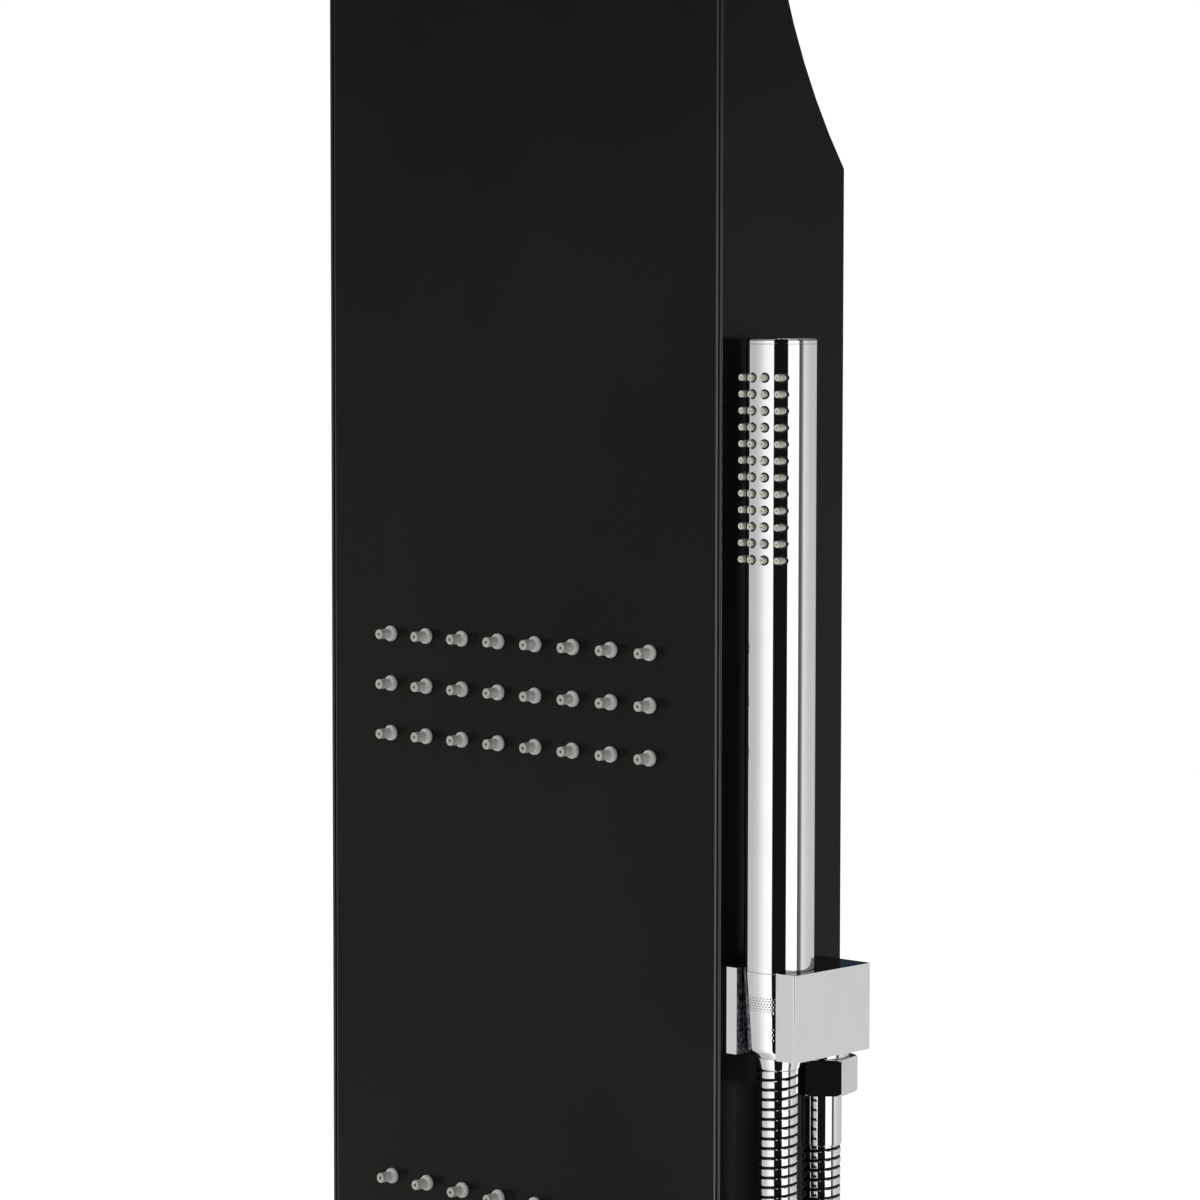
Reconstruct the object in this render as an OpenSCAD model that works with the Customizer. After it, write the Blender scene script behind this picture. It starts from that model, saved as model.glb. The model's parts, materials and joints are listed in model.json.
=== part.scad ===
// Wall-hung shower panel: a black sheet-metal column whose front bends forward at the top
// into a thin rain overhead, with body jets, a lever mixer, a diverter knob, and a chrome
// stick hand shower that stands in a chrome block on the right side plate.
// Millimetres. X runs to the right as seen from the front, Y into the wall, Z up.
// The wall is the plane Y = 0, and the origin is midway between the two screw holes of the
// upper wall bracket. Heights are counted from the panel's bottom edge.

/* [Panel shell] */
// Width across the two side plates
panel_w = 200; // [190:1:240]
// Depth of the column from the wall to its front face
panel_d = 67; // [62:1:90]
// Height from the bottom edge to the top of the overhead
panel_h = 1300; // [1270:5:1500]
// How far the overhead stands out from the wall
panel_reach = 445; // [435:5:520]
// Thickness of the neck and the overhead
neck_d = 22.2; // [21:0.1:30]
// Radius of the bend between the front face and the underside of the overhead
front_bend_r = 119.3; // [100:0.1:130]
// Radius of the hollow sweep where the back leaves the wall
back_sweep_r = 225; // [200:1:260]
// Thickness of the front plate
front_t = 1.5; // [1:0.1:2]
// Thickness of each side plate
side_t = 1.2; // [1:0.1:2]
// Thickness of the top cover
cover_t = 1.5; // [1:0.1:2]
// Thickness of the bottom plate
bottom_t = 1.5; // [1:0.1:2.5]
// Height of the bottom plate's turned-up front edge
bottom_lip = 12; // [8:1:20]
// Depth of the bottom plate's opening for the supply hoses, from the wall
hose_window_d = 50; // [44:1:52]
// Width of the bottom plate's sides beside that opening
hose_window_side = 25; // [18:1:30]
// Width of the fine groove between the front plate and each side plate
groove_w = 0.3; // [0.2:0.1:0.6]
// Width of the legs of the angle strips in the corners
angle_leg = 11; // [8:0.5:12]
// Thickness of the angle strips
angle_t = 1.5; // [1:0.1:2]

/* [Wall brackets and hangers] */
// Height of the upper bracket's screw holes
bracket_h = 960; // [930:1:980]
// Height of the lower bracket's screw holes
lower_bracket_h = 60; // [40:1:80]
// Width of a wall bracket
bracket_w = 150; // [140:1:170]
// Height of a wall bracket's plate
bracket_tall = 36; // [28:1:44]
// Thickness of the bracket's steel
bracket_t = 2.5; // [2:0.1:3]
// Distance between the two screw holes of a bracket
bracket_hole_gap = 120; // [100:1:125]
// Diameter of the screw holes
bracket_hole_d = 6.5; // [5:0.1:8]
// How far the bracket's hook stands out from the wall
hook_out = 12.5; // [12:0.1:14]
// How far the bracket's hook rises above its plate
hook_rise = 12; // [8:1:16]
// Thickness of the hanger's steel
hanger_t = 2; // [1.5:0.1:2.2]
// Depth of the hanger's end tabs along the side plates
hanger_tab = 24; // [15:1:30]

/* [Nozzles and water chambers] */
// Distance from nozzle to nozzle, both ways, on the front plate
nozzle_pitch = 19; // [18:0.1:19.5]
// Nozzles in a row
nozzle_columns = 8; // [6:1:8]
// Rows in a group of body jets
jet_rows = 3; // [2:1:4]
// Rows in the overhead
rain_rows = 12; // [6:1:12]
// Height of the top row of the upper body jets
upper_jets_h = 850; // [830:1:880]
// Distance from the upper group's top row to the lower group's
jet_group_gap = 209; // [190:1:230]
// Distance from the overhead's front edge to the first row of the rain field
rain_front_margin = 21.5; // [16:0.5:30]
// Distance from the bend to the last row of the rain field
rain_back_margin = 28.2; // [16:0.1:34]
// Diameter of a nozzle's flange on the plate
nozzle_flange_d = 6.4; // [6:0.1:8]
// Height of the flange
nozzle_flange_h = 1.9; // [1:0.1:2.2]
// Diameter of a nozzle's tip
nozzle_tip_d = 3.8; // [3:0.1:5]
// Height at which the cone ends and the tip starts
nozzle_cone_h = 4.1; // [3:0.1:5]
// Full height of a nozzle above the plate
nozzle_h = 7.1; // [6:0.1:9]
// Diameter of the water hole through a nozzle
nozzle_bore_d = 1; // [0.8:0.1:1.4]
// Diameter of the holes in the plate
plate_hole_d = 5; // [4:0.1:5.8]
// Thickness of the silicone mat behind the plate
mat_t = 2; // [1.5:0.1:2.5]
// Margin of the mat round the outer nozzles
mat_margin = 9; // [7:0.5:9]
// Depth of a jet chamber behind its mat
jet_chamber_d = 14; // [10:1:16]
// Depth of the rain chamber above its mat
rain_chamber_d = 13; // [11:0.5:14]
// Wall of the chambers
chamber_wall = 2.5; // [2:0.1:3]
// Diameter of the studs that hold the chambers
stud_d = 4; // [3:0.1:4.5]
// Length of the studs behind the plate
stud_len = 12; // [11:0.5:14]

/* [Mixer] */
// Height of the mixer
mixer_h = 360; // [340:1:380]
// Diameter of the brass valve body
mixer_body_d = 50; // [46:1:54]
// Depth of the valve bodies behind the front plate
valve_depth = 43; // [42:1:46]
// Diameter of the mixing cartridge
mixer_cartridge_d = 35; // [30:1:36]
// Diameter of the round trim plate
mixer_trim_d = 66; // [60:1:80]
// Outer diameter of the chrome sleeve and its turning cap
mixer_sleeve_d = 46; // [45:0.5:50]
// Length of the sleeve in front of the trim plate
mixer_sleeve_len = 22; // [20:0.5:26]
// Length of the turning cap
mixer_cap_len = 10; // [8:0.5:12]
// Diameter of the lever's ball
lever_ball_d = 24; // [20:0.5:26]
// Diameter of the lever's rod
lever_d = 9; // [7:0.5:10]
// Length of the lever from the ball's centre to its tip
lever_len = 85; // [60:1:110]
// How far the lever lifts, in degrees
lever_lift = 25; // [20:1:26]

/* [Diverter] */
// Height of the diverter
diverter_h = 480; // [470:1:500]
// Diameter of the diverter's brass body
diverter_body_d = 36; // [34:1:40]
// Diameter of the diverter's cartridge
diverter_cartridge_d = 24; // [22:0.5:26]
// Diameter of the diverter's trim ring
diverter_trim_d = 54; // [48:1:60]
// Thickness of both trim plates
trim_t = 4; // [3:0.5:5]
// Diameter of the knob
knob_d = 42; // [36:1:46]
// Length of the knob's round base
knob_base_len = 12; // [10:0.5:16]
// Height of the knob's grip bar
knob_bar_h = 14; // [10:0.5:18]
// Width of the knob's grip bar
knob_bar_w = 9; // [7:0.5:12]

/* [Pipes and inlets] */
// Distance of the pipes' centre line behind the front face
pipe_back = 34; // [33:0.5:36]
// Outer diameter of the water pipes
pipe_d = 10; // [9:0.5:11]
// Bore of the water pipes
pipe_bore = 7; // [6:0.5:7.5]
// Sideways distance of the jet pipe from the middle
jet_pipe_x = 45; // [40:1:55]
// Sideways distance of the hand shower's pipe from the middle
handset_pipe_x = 70; // [60:1:76]
// Sideways distance of each inlet from the middle
inlet_x = 45; // [42:1:60]
// Outer diameter of the threaded inlets
inlet_d = 20.96; // [20:0.01:22]
// Length of the threaded inlets
inlet_len = 14; // [12:0.5:18]
// Bore of the inlets
inlet_bore = 14; // [10:0.5:15]

/* [Holder block] */
// Width of the block, away from the side plate
block_w = 33; // [31:0.5:38]
// Depth of the block from its front to its back
block_d = 42; // [41:0.5:46]
// Height of the block
block_h = 31; // [28:0.5:34]
// Height of the block's top face
block_top_h = 740; // [730:0.5:745]
// Setback of the block from the panel's front face
block_setback = 2.1; // [1.5:0.1:3]
// Radius of the block's upright edges
block_edge_r = 0.6; // [0.4:0.1:2]
// Distance from the block's front to the hand shower's axis
seat_back = 10.9; // [10:0.1:12]
// Width of the slot that opens the seat to the front
slot_w = 18.2; // [17:0.1:18.5]
// How far the slot's middle stands to the left of the hand shower's axis
slot_shift = 1.2; // [0:0.1:1.5]
// Distance from the hand shower's axis back to the hose outlet's axis
outlet_back = 24; // [24:0.1:25]
// Diameter of the hollow stud that feeds the block
feed_stud_d = 12; // [10:0.5:12]
// Diameter of the block's water channel
channel_d = 8; // [6:0.5:8.5]

/* [Hand shower] */
// Diameter of the stick
stick_d = 25; // [24:0.1:25.1]
// Length of the stick from the cone nut to its top
stick_len = 223.2; // [200:0.1:260]
// Wall of the stick's tube
stick_wall = 1.5; // [1:0.1:2]
// Length of the stick's end cap that shows
cap_len = 2; // [1.5:0.1:4]
// Depth of the stick's lower end below the block's top face
stick_sunk = 0.4; // [0.2:0.1:2]
// Rows of spray nozzles
spray_rows = 12; // [8:1:14]
// Distance from row to row
spray_pitch = 5.8; // [5:0.1:6]
// Distance from the stick's top to the first row
spray_down = 13.8; // [12:0.1:20]
// Columns of spray nozzles
spray_columns = 4; // [2:2:4]
// Distance from column to column
spray_column_pitch = 5.5; // [4.5:0.1:5.7]
// Diameter of a spray tip
spray_tip_d = 2.6; // [2:0.1:3]
// Diameter of the holes in the stick that the spray tips stand in
spray_hole_d = 3.4; // [3.2:0.1:3.6]
// How far the spray tips would stand out of the stick along its front line
spray_tip_h = 1.5; // [1:0.1:3]
// How much further back the tips end towards the stick's sides, at its full radius
spray_tip_back = 4; // [2:0.1:5]

/* [Hose fittings] */
// Length of the cone nut
cone_nut_len = 31; // [28:0.5:34]
// Diameter of the cone nut's upper end
cone_top_d = 25.4; // [25.2:0.1:25.8]
// Diameter of the cone nut's lower end
cone_low_d = 21.6; // [21:0.1:23]
// Height of the bevel at the cone nut's lower end
cone_bevel = 2.4; // [1.5:0.1:4]
// Clearance between the cone nut and its seat
seat_gap = 0.35; // [0.3:0.05:0.5]
// Upper diameter of the collar under the cone nut
collar_top_d = 16.6; // [16:0.1:17]
// Lower diameter of the collar
collar_low_d = 14.6; // [14.2:0.1:15]
// Length of the collar that shows
collar_len = 4.5; // [3:0.1:8]
// Gap between the block and the hex nut, where the outlet nipple shows
nipple_show = 3.4; // [3:0.1:6]
// Diameter of the outlet nipple's rim
nipple_rim_d = 20; // [19:0.1:21]
// Width of the hex nut across its flats
hex_af = 22.4; // [22:0.1:24]
// Height of the hex nut
hex_h = 13; // [10:0.5:14]
// Turn of the hex nut from square, in degrees
hex_turn = 43; // [0:1:60]
// Diameter of the ferrule at the hose's start
ferrule_d = 14.4; // [13.6:0.1:15]
// Length of the ferrule that shows
ferrule_len = 18.9; // [15:0.1:25]
// Outer diameter of the hose over its ribs
hose_d = 14; // [13:0.1:15]
// Depth of the grooves between the ribs
rib_depth = 0.7; // [0.4:0.1:1]
// Bore of the hose
hose_bore = 8; // [7:0.5:9]
// Number of ribs
rib_count = 200; // [100:10:200]

/* [Hidden] */
$fn = 48;

// Overrun of cuts, and the clearance of pieces that fit in each other.
over = 1;
fit = 0.1;
// Thinnest metal round a thread or seat, and the shares that pipes and drilled ports take.
thin_wall = 1.5;
elbow_share = 1.1;
branch_share = 0.8;
small_port_share = 0.8;
slight_taper_share = 0.94;

// Finishes, as the photograph shows them.
black = [0.06, 0.06, 0.065];
chrome = [0.82, 0.83, 0.84];
silicone = [0.78, 0.77, 0.72];
brass = [0.78, 0.62, 0.32];
steel = [0.66, 0.67, 0.68];
plastic = [0.25, 0.25, 0.27];

// Shell: heights and distances from the wall.
back_bend_r = front_bend_r + neck_d;
neck_h = panel_h - back_bend_r;
bend_u = panel_d + front_bend_r;
sweep_u = panel_d - neck_d - back_sweep_r;
under_h = panel_h - neck_d;
inner_w = panel_w - 2 * side_t;
front_w = inner_w - 2 * groove_w;
corner_h = neck_h - sqrt(back_sweep_r * back_sweep_r - sweep_u * sweep_u);

// Chambers.
mat_w = (nozzle_columns - 1) * nozzle_pitch + 2 * mat_margin;
jets_span = (jet_rows - 1) * nozzle_pitch;
rain_span = panel_reach - rain_front_margin - rain_back_margin - bend_u;
rain_pitch = rain_span / (rain_rows - 1);
rain_middle = panel_reach - rain_front_margin - rain_span / 2;
ear_r = stud_d + fit;
ear_t = 3;
stud_x = mat_w / 2 + ear_r;
jet_stud_y = 15;
rain_stud_share = 0.4;
rain_stud_y = rain_span * rain_stud_share;
nut_af_share = 1.75;
nut_h_share = 0.8;
nut_af = stud_d * nut_af_share;
nut_h = stud_d * nut_h_share;
lower_jets_h = upper_jets_h - jet_group_gap;
jet_groups = [upper_jets_h - jets_span / 2, lower_jets_h - jets_span / 2];
rain_feed_z = -neck_d / 2;
rain_back_u = rain_middle - rain_span / 2 - mat_margin;

// Mixer and diverter, measured outward from the front face.
neck_wall = 1.8;
seat_depth = 27;
port_d = pipe_bore;
mixer_seat_r = mixer_cartridge_d / 2 + 2 * fit;
mixer_neck_r = mixer_seat_r + neck_wall;
neck_stand = 7;
mixer_neck_top = trim_t + neck_stand;
ring_h = 5;
ring_wall = 4;
ring_bore_r = mixer_cartridge_d / 2 - ring_wall;
sleeve_wall = 2.5;
sleeve_bore_r = mixer_sleeve_d / 2 - sleeve_wall;
sleeve_top = trim_t + mixer_sleeve_len;
turn_gap = 0.4;
cap_spigot = 8;
ball_set = 2;
ball_z = sleeve_top - ball_set;
arm_r = inlet_d / 2 + thin_wall;
ball_gap = 0.3;
lever_stub = 14;
diverter_seat_r = diverter_cartridge_d / 2 + 2 * fit;
diverter_neck_r = diverter_seat_r + neck_wall;
knob_z = trim_t + turn_gap;
spindle_r = 4;
spindle_low = -8;
knob_face = 2;
knob_bar_reach = knob_d / 2 - fit * 5;
spindle_top = knob_z + knob_base_len - knob_face;
grub_d = 4;
mixer_port_share = 0.45;
diverter_port_share = 0.55;
port_depth_share = 0.25;

// Pipes, in the frame of the whole part.
pipe_y = -panel_d + pipe_back;
neck_pipe_y = -panel_d + neck_d / 2;
chamber_back_y = -panel_d + front_t + mat_t + jet_chamber_d;
feed_end_x = panel_w / 2 - side_t - angle_leg;

// Holder block, hand shower and hose ends.
block_u = panel_d - block_setback;
stick_x = panel_w / 2 + block_w / 2;
stick_u = block_u - seat_back;
outlet_u = stick_u - outlet_back;
block_low_h = block_top_h - block_h;
feed_h = block_top_h - block_h / 2;
stick_low_h = block_top_h - stick_sunk;
stick_top_h = stick_low_h + stick_len;
cone_low_h = stick_low_h - cone_nut_len;
collar_low_h = cone_low_h - collar_len;
hex_top_h = block_low_h - nipple_show;
hex_low_h = hex_top_h - hex_h;
ferrule_low_h = hex_low_h - ferrule_len;
tail_r = hose_bore / 2;
washer_t = 2;
lip = 0.6;
thread_len = 11;
cone_thread_r = cone_low_d / 2 - thin_wall - fit;
seal_r = nipple_rim_d / 2 - lip;
stem_r = collar_low_d / 2 - lip;
flange_t = 2.5;
feed_in = 8;
lock_af_share = 1.5;
lock_af = feed_stud_d * lock_af_share;
lock_h = 4;
screw_d = 4;
screw_web = 7;
screw_u = outlet_u + feed_stud_d / 2 + screw_d / 2 + screw_web;
screw_in = 5;
screw_head_h_share = 0.6;
screw_head_d_share = 1.8;
stick_bore_r = stick_d / 2 - stick_wall;
skin_t = 1.2;
core_r = stick_bore_r - skin_t - fit;
core_bore_r = 6;
spray_span = (spray_rows - 1) * spray_pitch;
spray_x = (spray_columns - 1) / 2 * spray_column_pitch;
plug_len = 8;
// Rib between the core's two windows, how far back these reach, and the edge of the spray sheet.
core_rib = 2;
window_back = 3;
sheet_back = 1.5;

// Grip bands of the cone nut, and the shares of its length at which they start.
band_depth = 0.4;
band_h = 4;
band_places = [0.24, 0.68];
bevel_share = 0.75;

// Route of the hose, from the ferrule down, round the loop and up to the collar.
hose_route = [
    [116.5, -30, -286.4], [116.5, -30, -301], [116.5, -30, -360], [116.5, -30, -430],
    [116.5, -30, -500], [116, -30, -570], [115, -30, -640], [114, -30, -710],
    [113, -30, -780], [113, -30, -845], [114, -30, -903], [123, -30, -940],
    [147, -30, -967], [179, -31, -976], [211, -32, -966], [235, -33, -940],
    [244, -35, -905], [241, -37, -850], [231, -39, -790], [216, -41, -730],
    [199, -43, -670], [181, -46, -610], [163, -49, -550], [147, -52, -490],
    [133, -54, -430], [122.5, -54, -370], [117, -54, -315], [116.5, -54, -270.4],
    [116.5, -54, -256]
];
hose_sides = 8;
steps_per_leg = 12;
// Half of the length over which the hose's direction is taken.
ahead_len = 2;

// Height above the bottom edge, as a height in this frame.
function up(h) = h - bracket_h;

// A curve through points a and b whose direction there follows the points before and after.
function curve(p, a, b, q, t) =
    0.5 * (2 * a + (b - p) * t + (2 * p - 5 * a + 4 * b - q) * t * t
        + (3 * a - p - 3 * b + q) * t * t * t);
function route_point(r, i) = r[max(0, min(len(r) - 1, i))];
function fine_route(r) = [
    for (i = [0 : len(r) - 2])
        for (k = [0 : steps_per_leg - 1])
            curve(route_point(r, i - 1), r[i], r[i + 1], route_point(r, i + 2), k / steps_per_leg),
    r[len(r) - 1]
];
function lengths(p, i = 0, run = 0) = i >= len(p) - 1
    ? [run]
    : concat([run], lengths(p, i + 1, run + norm(p[i + 1] - p[i])));
hose_line = fine_route(hose_route);
hose_runs = lengths(hose_line);
hose_len = hose_runs[len(hose_runs) - 1];
echo(hose_length = hose_len);
hose_tables = [for (c = [0 : 2]) [for (i = [0 : len(hose_line) - 1]) [hose_runs[i], hose_line[i][c]]]];
function hose_at(s) = [for (c = [0 : 2]) lookup(s, hose_tables[c])];

// A ring of points round the hose at a run s, square to its direction there.
function unit(v) = v / norm(v);
function hose_ring(s, r) =
    let (
        ahead = unit(hose_at(min(s + ahead_len, hose_len)) - hose_at(max(s - ahead_len, 0))),
        side = unit([0, 1, 0] - ahead[1] * ahead),
        other = cross(ahead, side),
        middle = hose_at(s)
    )
    [for (k = [0 : hose_sides - 1])
        let (a = 360 * k / hose_sides) middle + r * (cos(a) * side + sin(a) * other)];

// Places. Outlines in the side view are drawn as distance from the wall and height.
module across(x0, w) {
    translate([x0 + w, 0, up(0)])
        rotate([90, 0, -90])
            linear_extrude(w)
                children();
}
module at_front(x, h) {
    translate([x, -panel_d, up(h)])
        rotate([90, 0, 0])
            children();
}
module at_underside() {
    translate([0, -rain_middle, up(under_h)])
        rotate([180, 0, 0])
            children();
}
module at_stick(h) {
    translate([stick_x, -stick_u, up(h)])
        children();
}
module at_outlet(h) {
    translate([stick_x, -outlet_u, up(h)])
        children();
}

// Shapes that several pieces share.
module tube(outer_r, inner_r, h) {
    difference() {
        cylinder(h = h, r = outer_r);
        translate([0, 0, -over])
            cylinder(h = h + 2 * over, r = inner_r);
    }
}
module hex(af, h) {
    cylinder(h = h, d = af / cos(30), $fn = 6);
}
module rounded(w, d, r) {
    translate([r, 0])
        square([w - 2 * r, d]);
    translate([0, r])
        square([w, d - 2 * r]);
    for (x = [r, w - r], y = [r, d - r])
        translate([x, y])
            circle(r);
}
module rod(a, b, r) {
    d = b - a;
    translate(a)
        rotate([0, acos(d[2] / norm(d)), atan2(d[1], d[0])])
            cylinder(h = norm(d), r = r);
}
module path_rods(points, r) {
    for (i = [0 : len(points) - 2])
        rod(points[i], points[i + 1], r);
    for (i = [1 : 1 : len(points) - 2])
        translate(points[i])
            sphere(r * elbow_share);
}
function past(a, b) = b + over * unit(b - a);
module pipe(points) {
    last = len(points) - 1;
    inner = [for (i = [0 : last]) i == 0 ? past(points[1], points[0])
        : i == last ? past(points[last - 1], points[last]) : points[i]];
    difference() {
        path_rods(points, pipe_d / 2);
        path_rods(inner, pipe_bore / 2);
    }
}

// Side view outlines.
module quarter_ring(outer_r, inner_r, left, top) {
    intersection() {
        difference() {
            circle(outer_r);
            circle(inner_r);
        }
        translate([left ? -outer_r - over : 0, top ? 0 : -outer_r - over])
            square(outer_r + over);
    }
}
module side_outline() {
    difference() {
        square([panel_d, neck_h]);
        translate([sweep_u, neck_h])
            circle(back_sweep_r);
    }
    translate([bend_u, neck_h])
        quarter_ring(back_bend_r, front_bend_r, true, true);
    translate([bend_u, under_h])
        square([panel_reach - bend_u, neck_d]);
}
module front_outline() {
    translate([panel_d - front_t, bottom_t])
        square([front_t, neck_h - bottom_t]);
    translate([bend_u, neck_h])
        quarter_ring(front_bend_r + front_t, front_bend_r, true, true);
    translate([bend_u, under_h])
        square([panel_reach - cover_t - groove_w - bend_u, front_t]);
}
module cover_outline() {
    intersection() {
        translate([sweep_u, neck_h])
            quarter_ring(back_sweep_r + cover_t, back_sweep_r, false, false);
        square([panel_d, neck_h]);
    }
    translate([bend_u, neck_h])
        quarter_ring(back_bend_r, back_bend_r - cover_t, true, true);
    translate([bend_u, panel_h - cover_t])
        square([panel_reach - bend_u, cover_t]);
    translate([panel_reach - cover_t, under_h])
        square([cover_t, neck_d]);
}

// Nozzles: columns run along local x, rows along local y, and the tips point along local z.
module nozzle_grid(rows, row_pitch) {
    for (i = [0 : nozzle_columns - 1], j = [0 : rows - 1])
        translate([(i - (nozzle_columns - 1) / 2) * nozzle_pitch,
            (j - (rows - 1) / 2) * row_pitch])
            children();
}
module nozzle() {
    tip_r = nozzle_tip_d / 2;
    rotate_extrude()
        polygon([
            [0, -front_t - mat_t / 2], [plate_hole_d / 2 - fit, -front_t - mat_t / 2],
            [plate_hole_d / 2 - fit, 0], [nozzle_flange_d / 2, 0],
            [nozzle_flange_d / 2, nozzle_flange_h], [tip_r, nozzle_cone_h],
            [tip_r * slight_taper_share, nozzle_h], [0, nozzle_h]
        ]);
}
module nozzle_mat(rows, row_pitch) {
    mat_len = (rows - 1) * row_pitch + 2 * mat_margin;
    difference() {
        union() {
            translate([-mat_w / 2, -mat_len / 2, -front_t - mat_t])
                cube([mat_w, mat_len, mat_t]);
            nozzle_grid(rows, row_pitch)
                nozzle();
        }
        nozzle_grid(rows, row_pitch)
            translate([0, 0, -front_t - mat_t - over])
                cylinder(h = nozzle_h + front_t + mat_t + 2 * over, d = nozzle_bore_d);
    }
}
module stud_places(ys) {
    for (side = [-1, 1], y = ys)
        translate([side * stud_x, y, 0])
            children();
}
module water_chamber(rows, row_pitch, depth, ys) {
    len_y = (rows - 1) * row_pitch + 2 * mat_margin;
    rim = -front_t - mat_t;
    difference() {
        union() {
            translate([-mat_w / 2, -len_y / 2, rim - depth])
                cube([mat_w, len_y, depth]);
            stud_places(ys)
                translate([0, 0, rim - ear_t])
                    cylinder(h = ear_t, r = ear_r);
            for (y = ys)
                translate([-stud_x, y - ear_r, rim - ear_t])
                    cube([2 * stud_x, 2 * ear_r, ear_t]);
        }
        translate([-mat_w / 2 + chamber_wall, -len_y / 2 + chamber_wall, rim - depth + chamber_wall])
            cube([mat_w - 2 * chamber_wall, len_y - 2 * chamber_wall, depth]);
        stud_places(ys)
            translate([0, 0, rim - ear_t - over])
                cylinder(h = ear_t + 2 * over, r = stud_d / 2 + fit);
    }
}
module studs(ys) {
    stud_places(ys)
        translate([0, 0, -front_t - stud_len])
            cylinder(h = stud_len + front_t / 2, d = stud_d);
}
module stud_nuts(ys) {
    stud_places(ys)
        translate([0, 0, -front_t - mat_t - ear_t - nut_h])
            difference() {
                hex(nut_af, nut_h);
                translate([0, 0, -over])
                    cylinder(h = nut_h + 2 * over, r = stud_d / 2 + fit);
            }
}

// Shell pieces.
module front_plate() {
    color(black)
        difference() {
            union() {
                across(-front_w / 2, front_w)
                    front_outline();
                for (h = jet_groups)
                    at_front(0, h)
                        studs([-jet_stud_y, jet_stud_y]);
                at_underside()
                    studs([-rain_stud_y, 0, rain_stud_y]);
            }
            for (h = jet_groups)
                at_front(0, h)
                    nozzle_grid(jet_rows, nozzle_pitch)
                        translate([0, 0, -front_t - over])
                            cylinder(h = front_t + 2 * over, d = plate_hole_d);
            at_underside()
                nozzle_grid(rain_rows, rain_pitch)
                    translate([0, 0, -front_t - over])
                        cylinder(h = front_t + 2 * over, d = plate_hole_d);
            at_front(0, mixer_h)
                translate([0, 0, -front_t - over])
                    cylinder(h = front_t + 2 * over, r = mixer_neck_r + fit);
            at_front(0, diverter_h)
                translate([0, 0, -front_t - over])
                    cylinder(h = front_t + 2 * over, r = diverter_neck_r + fit);
        }
}
module side_plate_left() {
    color(black)
        across(-panel_w / 2, side_t)
            side_outline();
}
module side_plate_right() {
    color(black)
        difference() {
            across(panel_w / 2 - side_t, side_t)
                side_outline();
            translate([panel_w / 2 - side_t - over, -outlet_u, up(feed_h)])
                rotate([0, 90, 0])
                    cylinder(h = side_t + 2 * over, r = feed_stud_d / 2 + fit);
            translate([panel_w / 2 - side_t - over, -screw_u, up(feed_h)])
                rotate([0, 90, 0])
                    cylinder(h = side_t + 2 * over, r = screw_d / 2 + fit);
        }
}
module top_cover() {
    color(black)
        across(-inner_w / 2, inner_w)
            cover_outline();
}
module bottom_plate() {
    color(black)
        translate([-inner_w / 2, -panel_d, up(0)])
            difference() {
                union() {
                    cube([inner_w, panel_d, bottom_t]);
                    translate([angle_leg + fit, front_t, 0])
                        cube([inner_w - 2 * angle_leg - 2 * fit, bottom_t, bottom_lip]);
                }
                translate([hose_window_side, panel_d - hose_window_d, -over])
                    cube([inner_w - 2 * hose_window_side, hose_window_d + over, bottom_t + 2 * over]);
            }
}
module angle_strip(len) {
    cube([angle_leg, angle_t, len]);
    cube([angle_t, angle_leg, len]);
}
module corner_angle() {
    translate([-inner_w / 2, -panel_d + front_t, up(bottom_t)])
        angle_strip(corner_h - bottom_t);
}
module corner_angle_left() {
    color(steel)
        corner_angle();
}
module corner_angle_right() {
    color(steel)
        mirror([1, 0, 0])
            corner_angle();
}
module overhead_angle() {
    translate([-inner_w / 2, -bend_u, up(under_h + front_t)])
        rotate([90, 0, 0])
            angle_strip(panel_reach - bend_u - cover_t);
}
module overhead_angle_left() {
    color(steel)
        overhead_angle();
}
module overhead_angle_right() {
    color(steel)
        mirror([1, 0, 0])
            overhead_angle();
}

// Hangers on the panel, and the hooks on the wall that they drop over.
module hanger(h) {
    lip_u = bracket_t + fit;
    lip_gap = hook_out - 2 * bracket_t - hanger_t;
    web_u = hook_out + fit;
    top = h + bracket_tall / 2 + hook_rise + fit;
    low = h - bracket_tall / 2;
    color(steel) {
        across(-inner_w / 2, inner_w) {
            translate([lip_u + lip_gap / 2, top - hook_rise])
                square([hanger_t, hook_rise]);
            translate([lip_u + lip_gap / 2, top])
                square([web_u + hanger_t - lip_u - lip_gap / 2, hanger_t]);
            translate([web_u, low])
                square([hanger_t, top - low]);
        }
        for (side = [-1, 1])
            translate([side > 0 ? inner_w / 2 - hanger_t : -inner_w / 2,
                -web_u - hanger_tab, up(low)])
                cube([hanger_t, hanger_tab, top + hanger_t - low]);
    }
}
module hanger_upper() {
    hanger(bracket_h);
}
module hanger_lower() {
    hanger(lower_bracket_h);
}
module wall_bracket(h) {
    half = bracket_tall / 2;
    color(steel)
        difference() {
            across(-bracket_w / 2, bracket_w) {
                translate([0, h - half])
                    square([bracket_t, bracket_tall]);
                translate([0, h + half - bracket_t])
                    square([hook_out, bracket_t]);
                translate([hook_out - bracket_t, h + half - bracket_t])
                    square([bracket_t, bracket_t + hook_rise]);
            }
            for (side = [-1, 1])
                translate([side * bracket_hole_gap / 2, over, up(h)])
                    rotate([90, 0, 0])
                        cylinder(h = bracket_t + 2 * over, d = bracket_hole_d);
        }
}
module wall_bracket_upper() {
    wall_bracket(bracket_h);
}
module wall_bracket_lower() {
    wall_bracket(lower_bracket_h);
}

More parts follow.
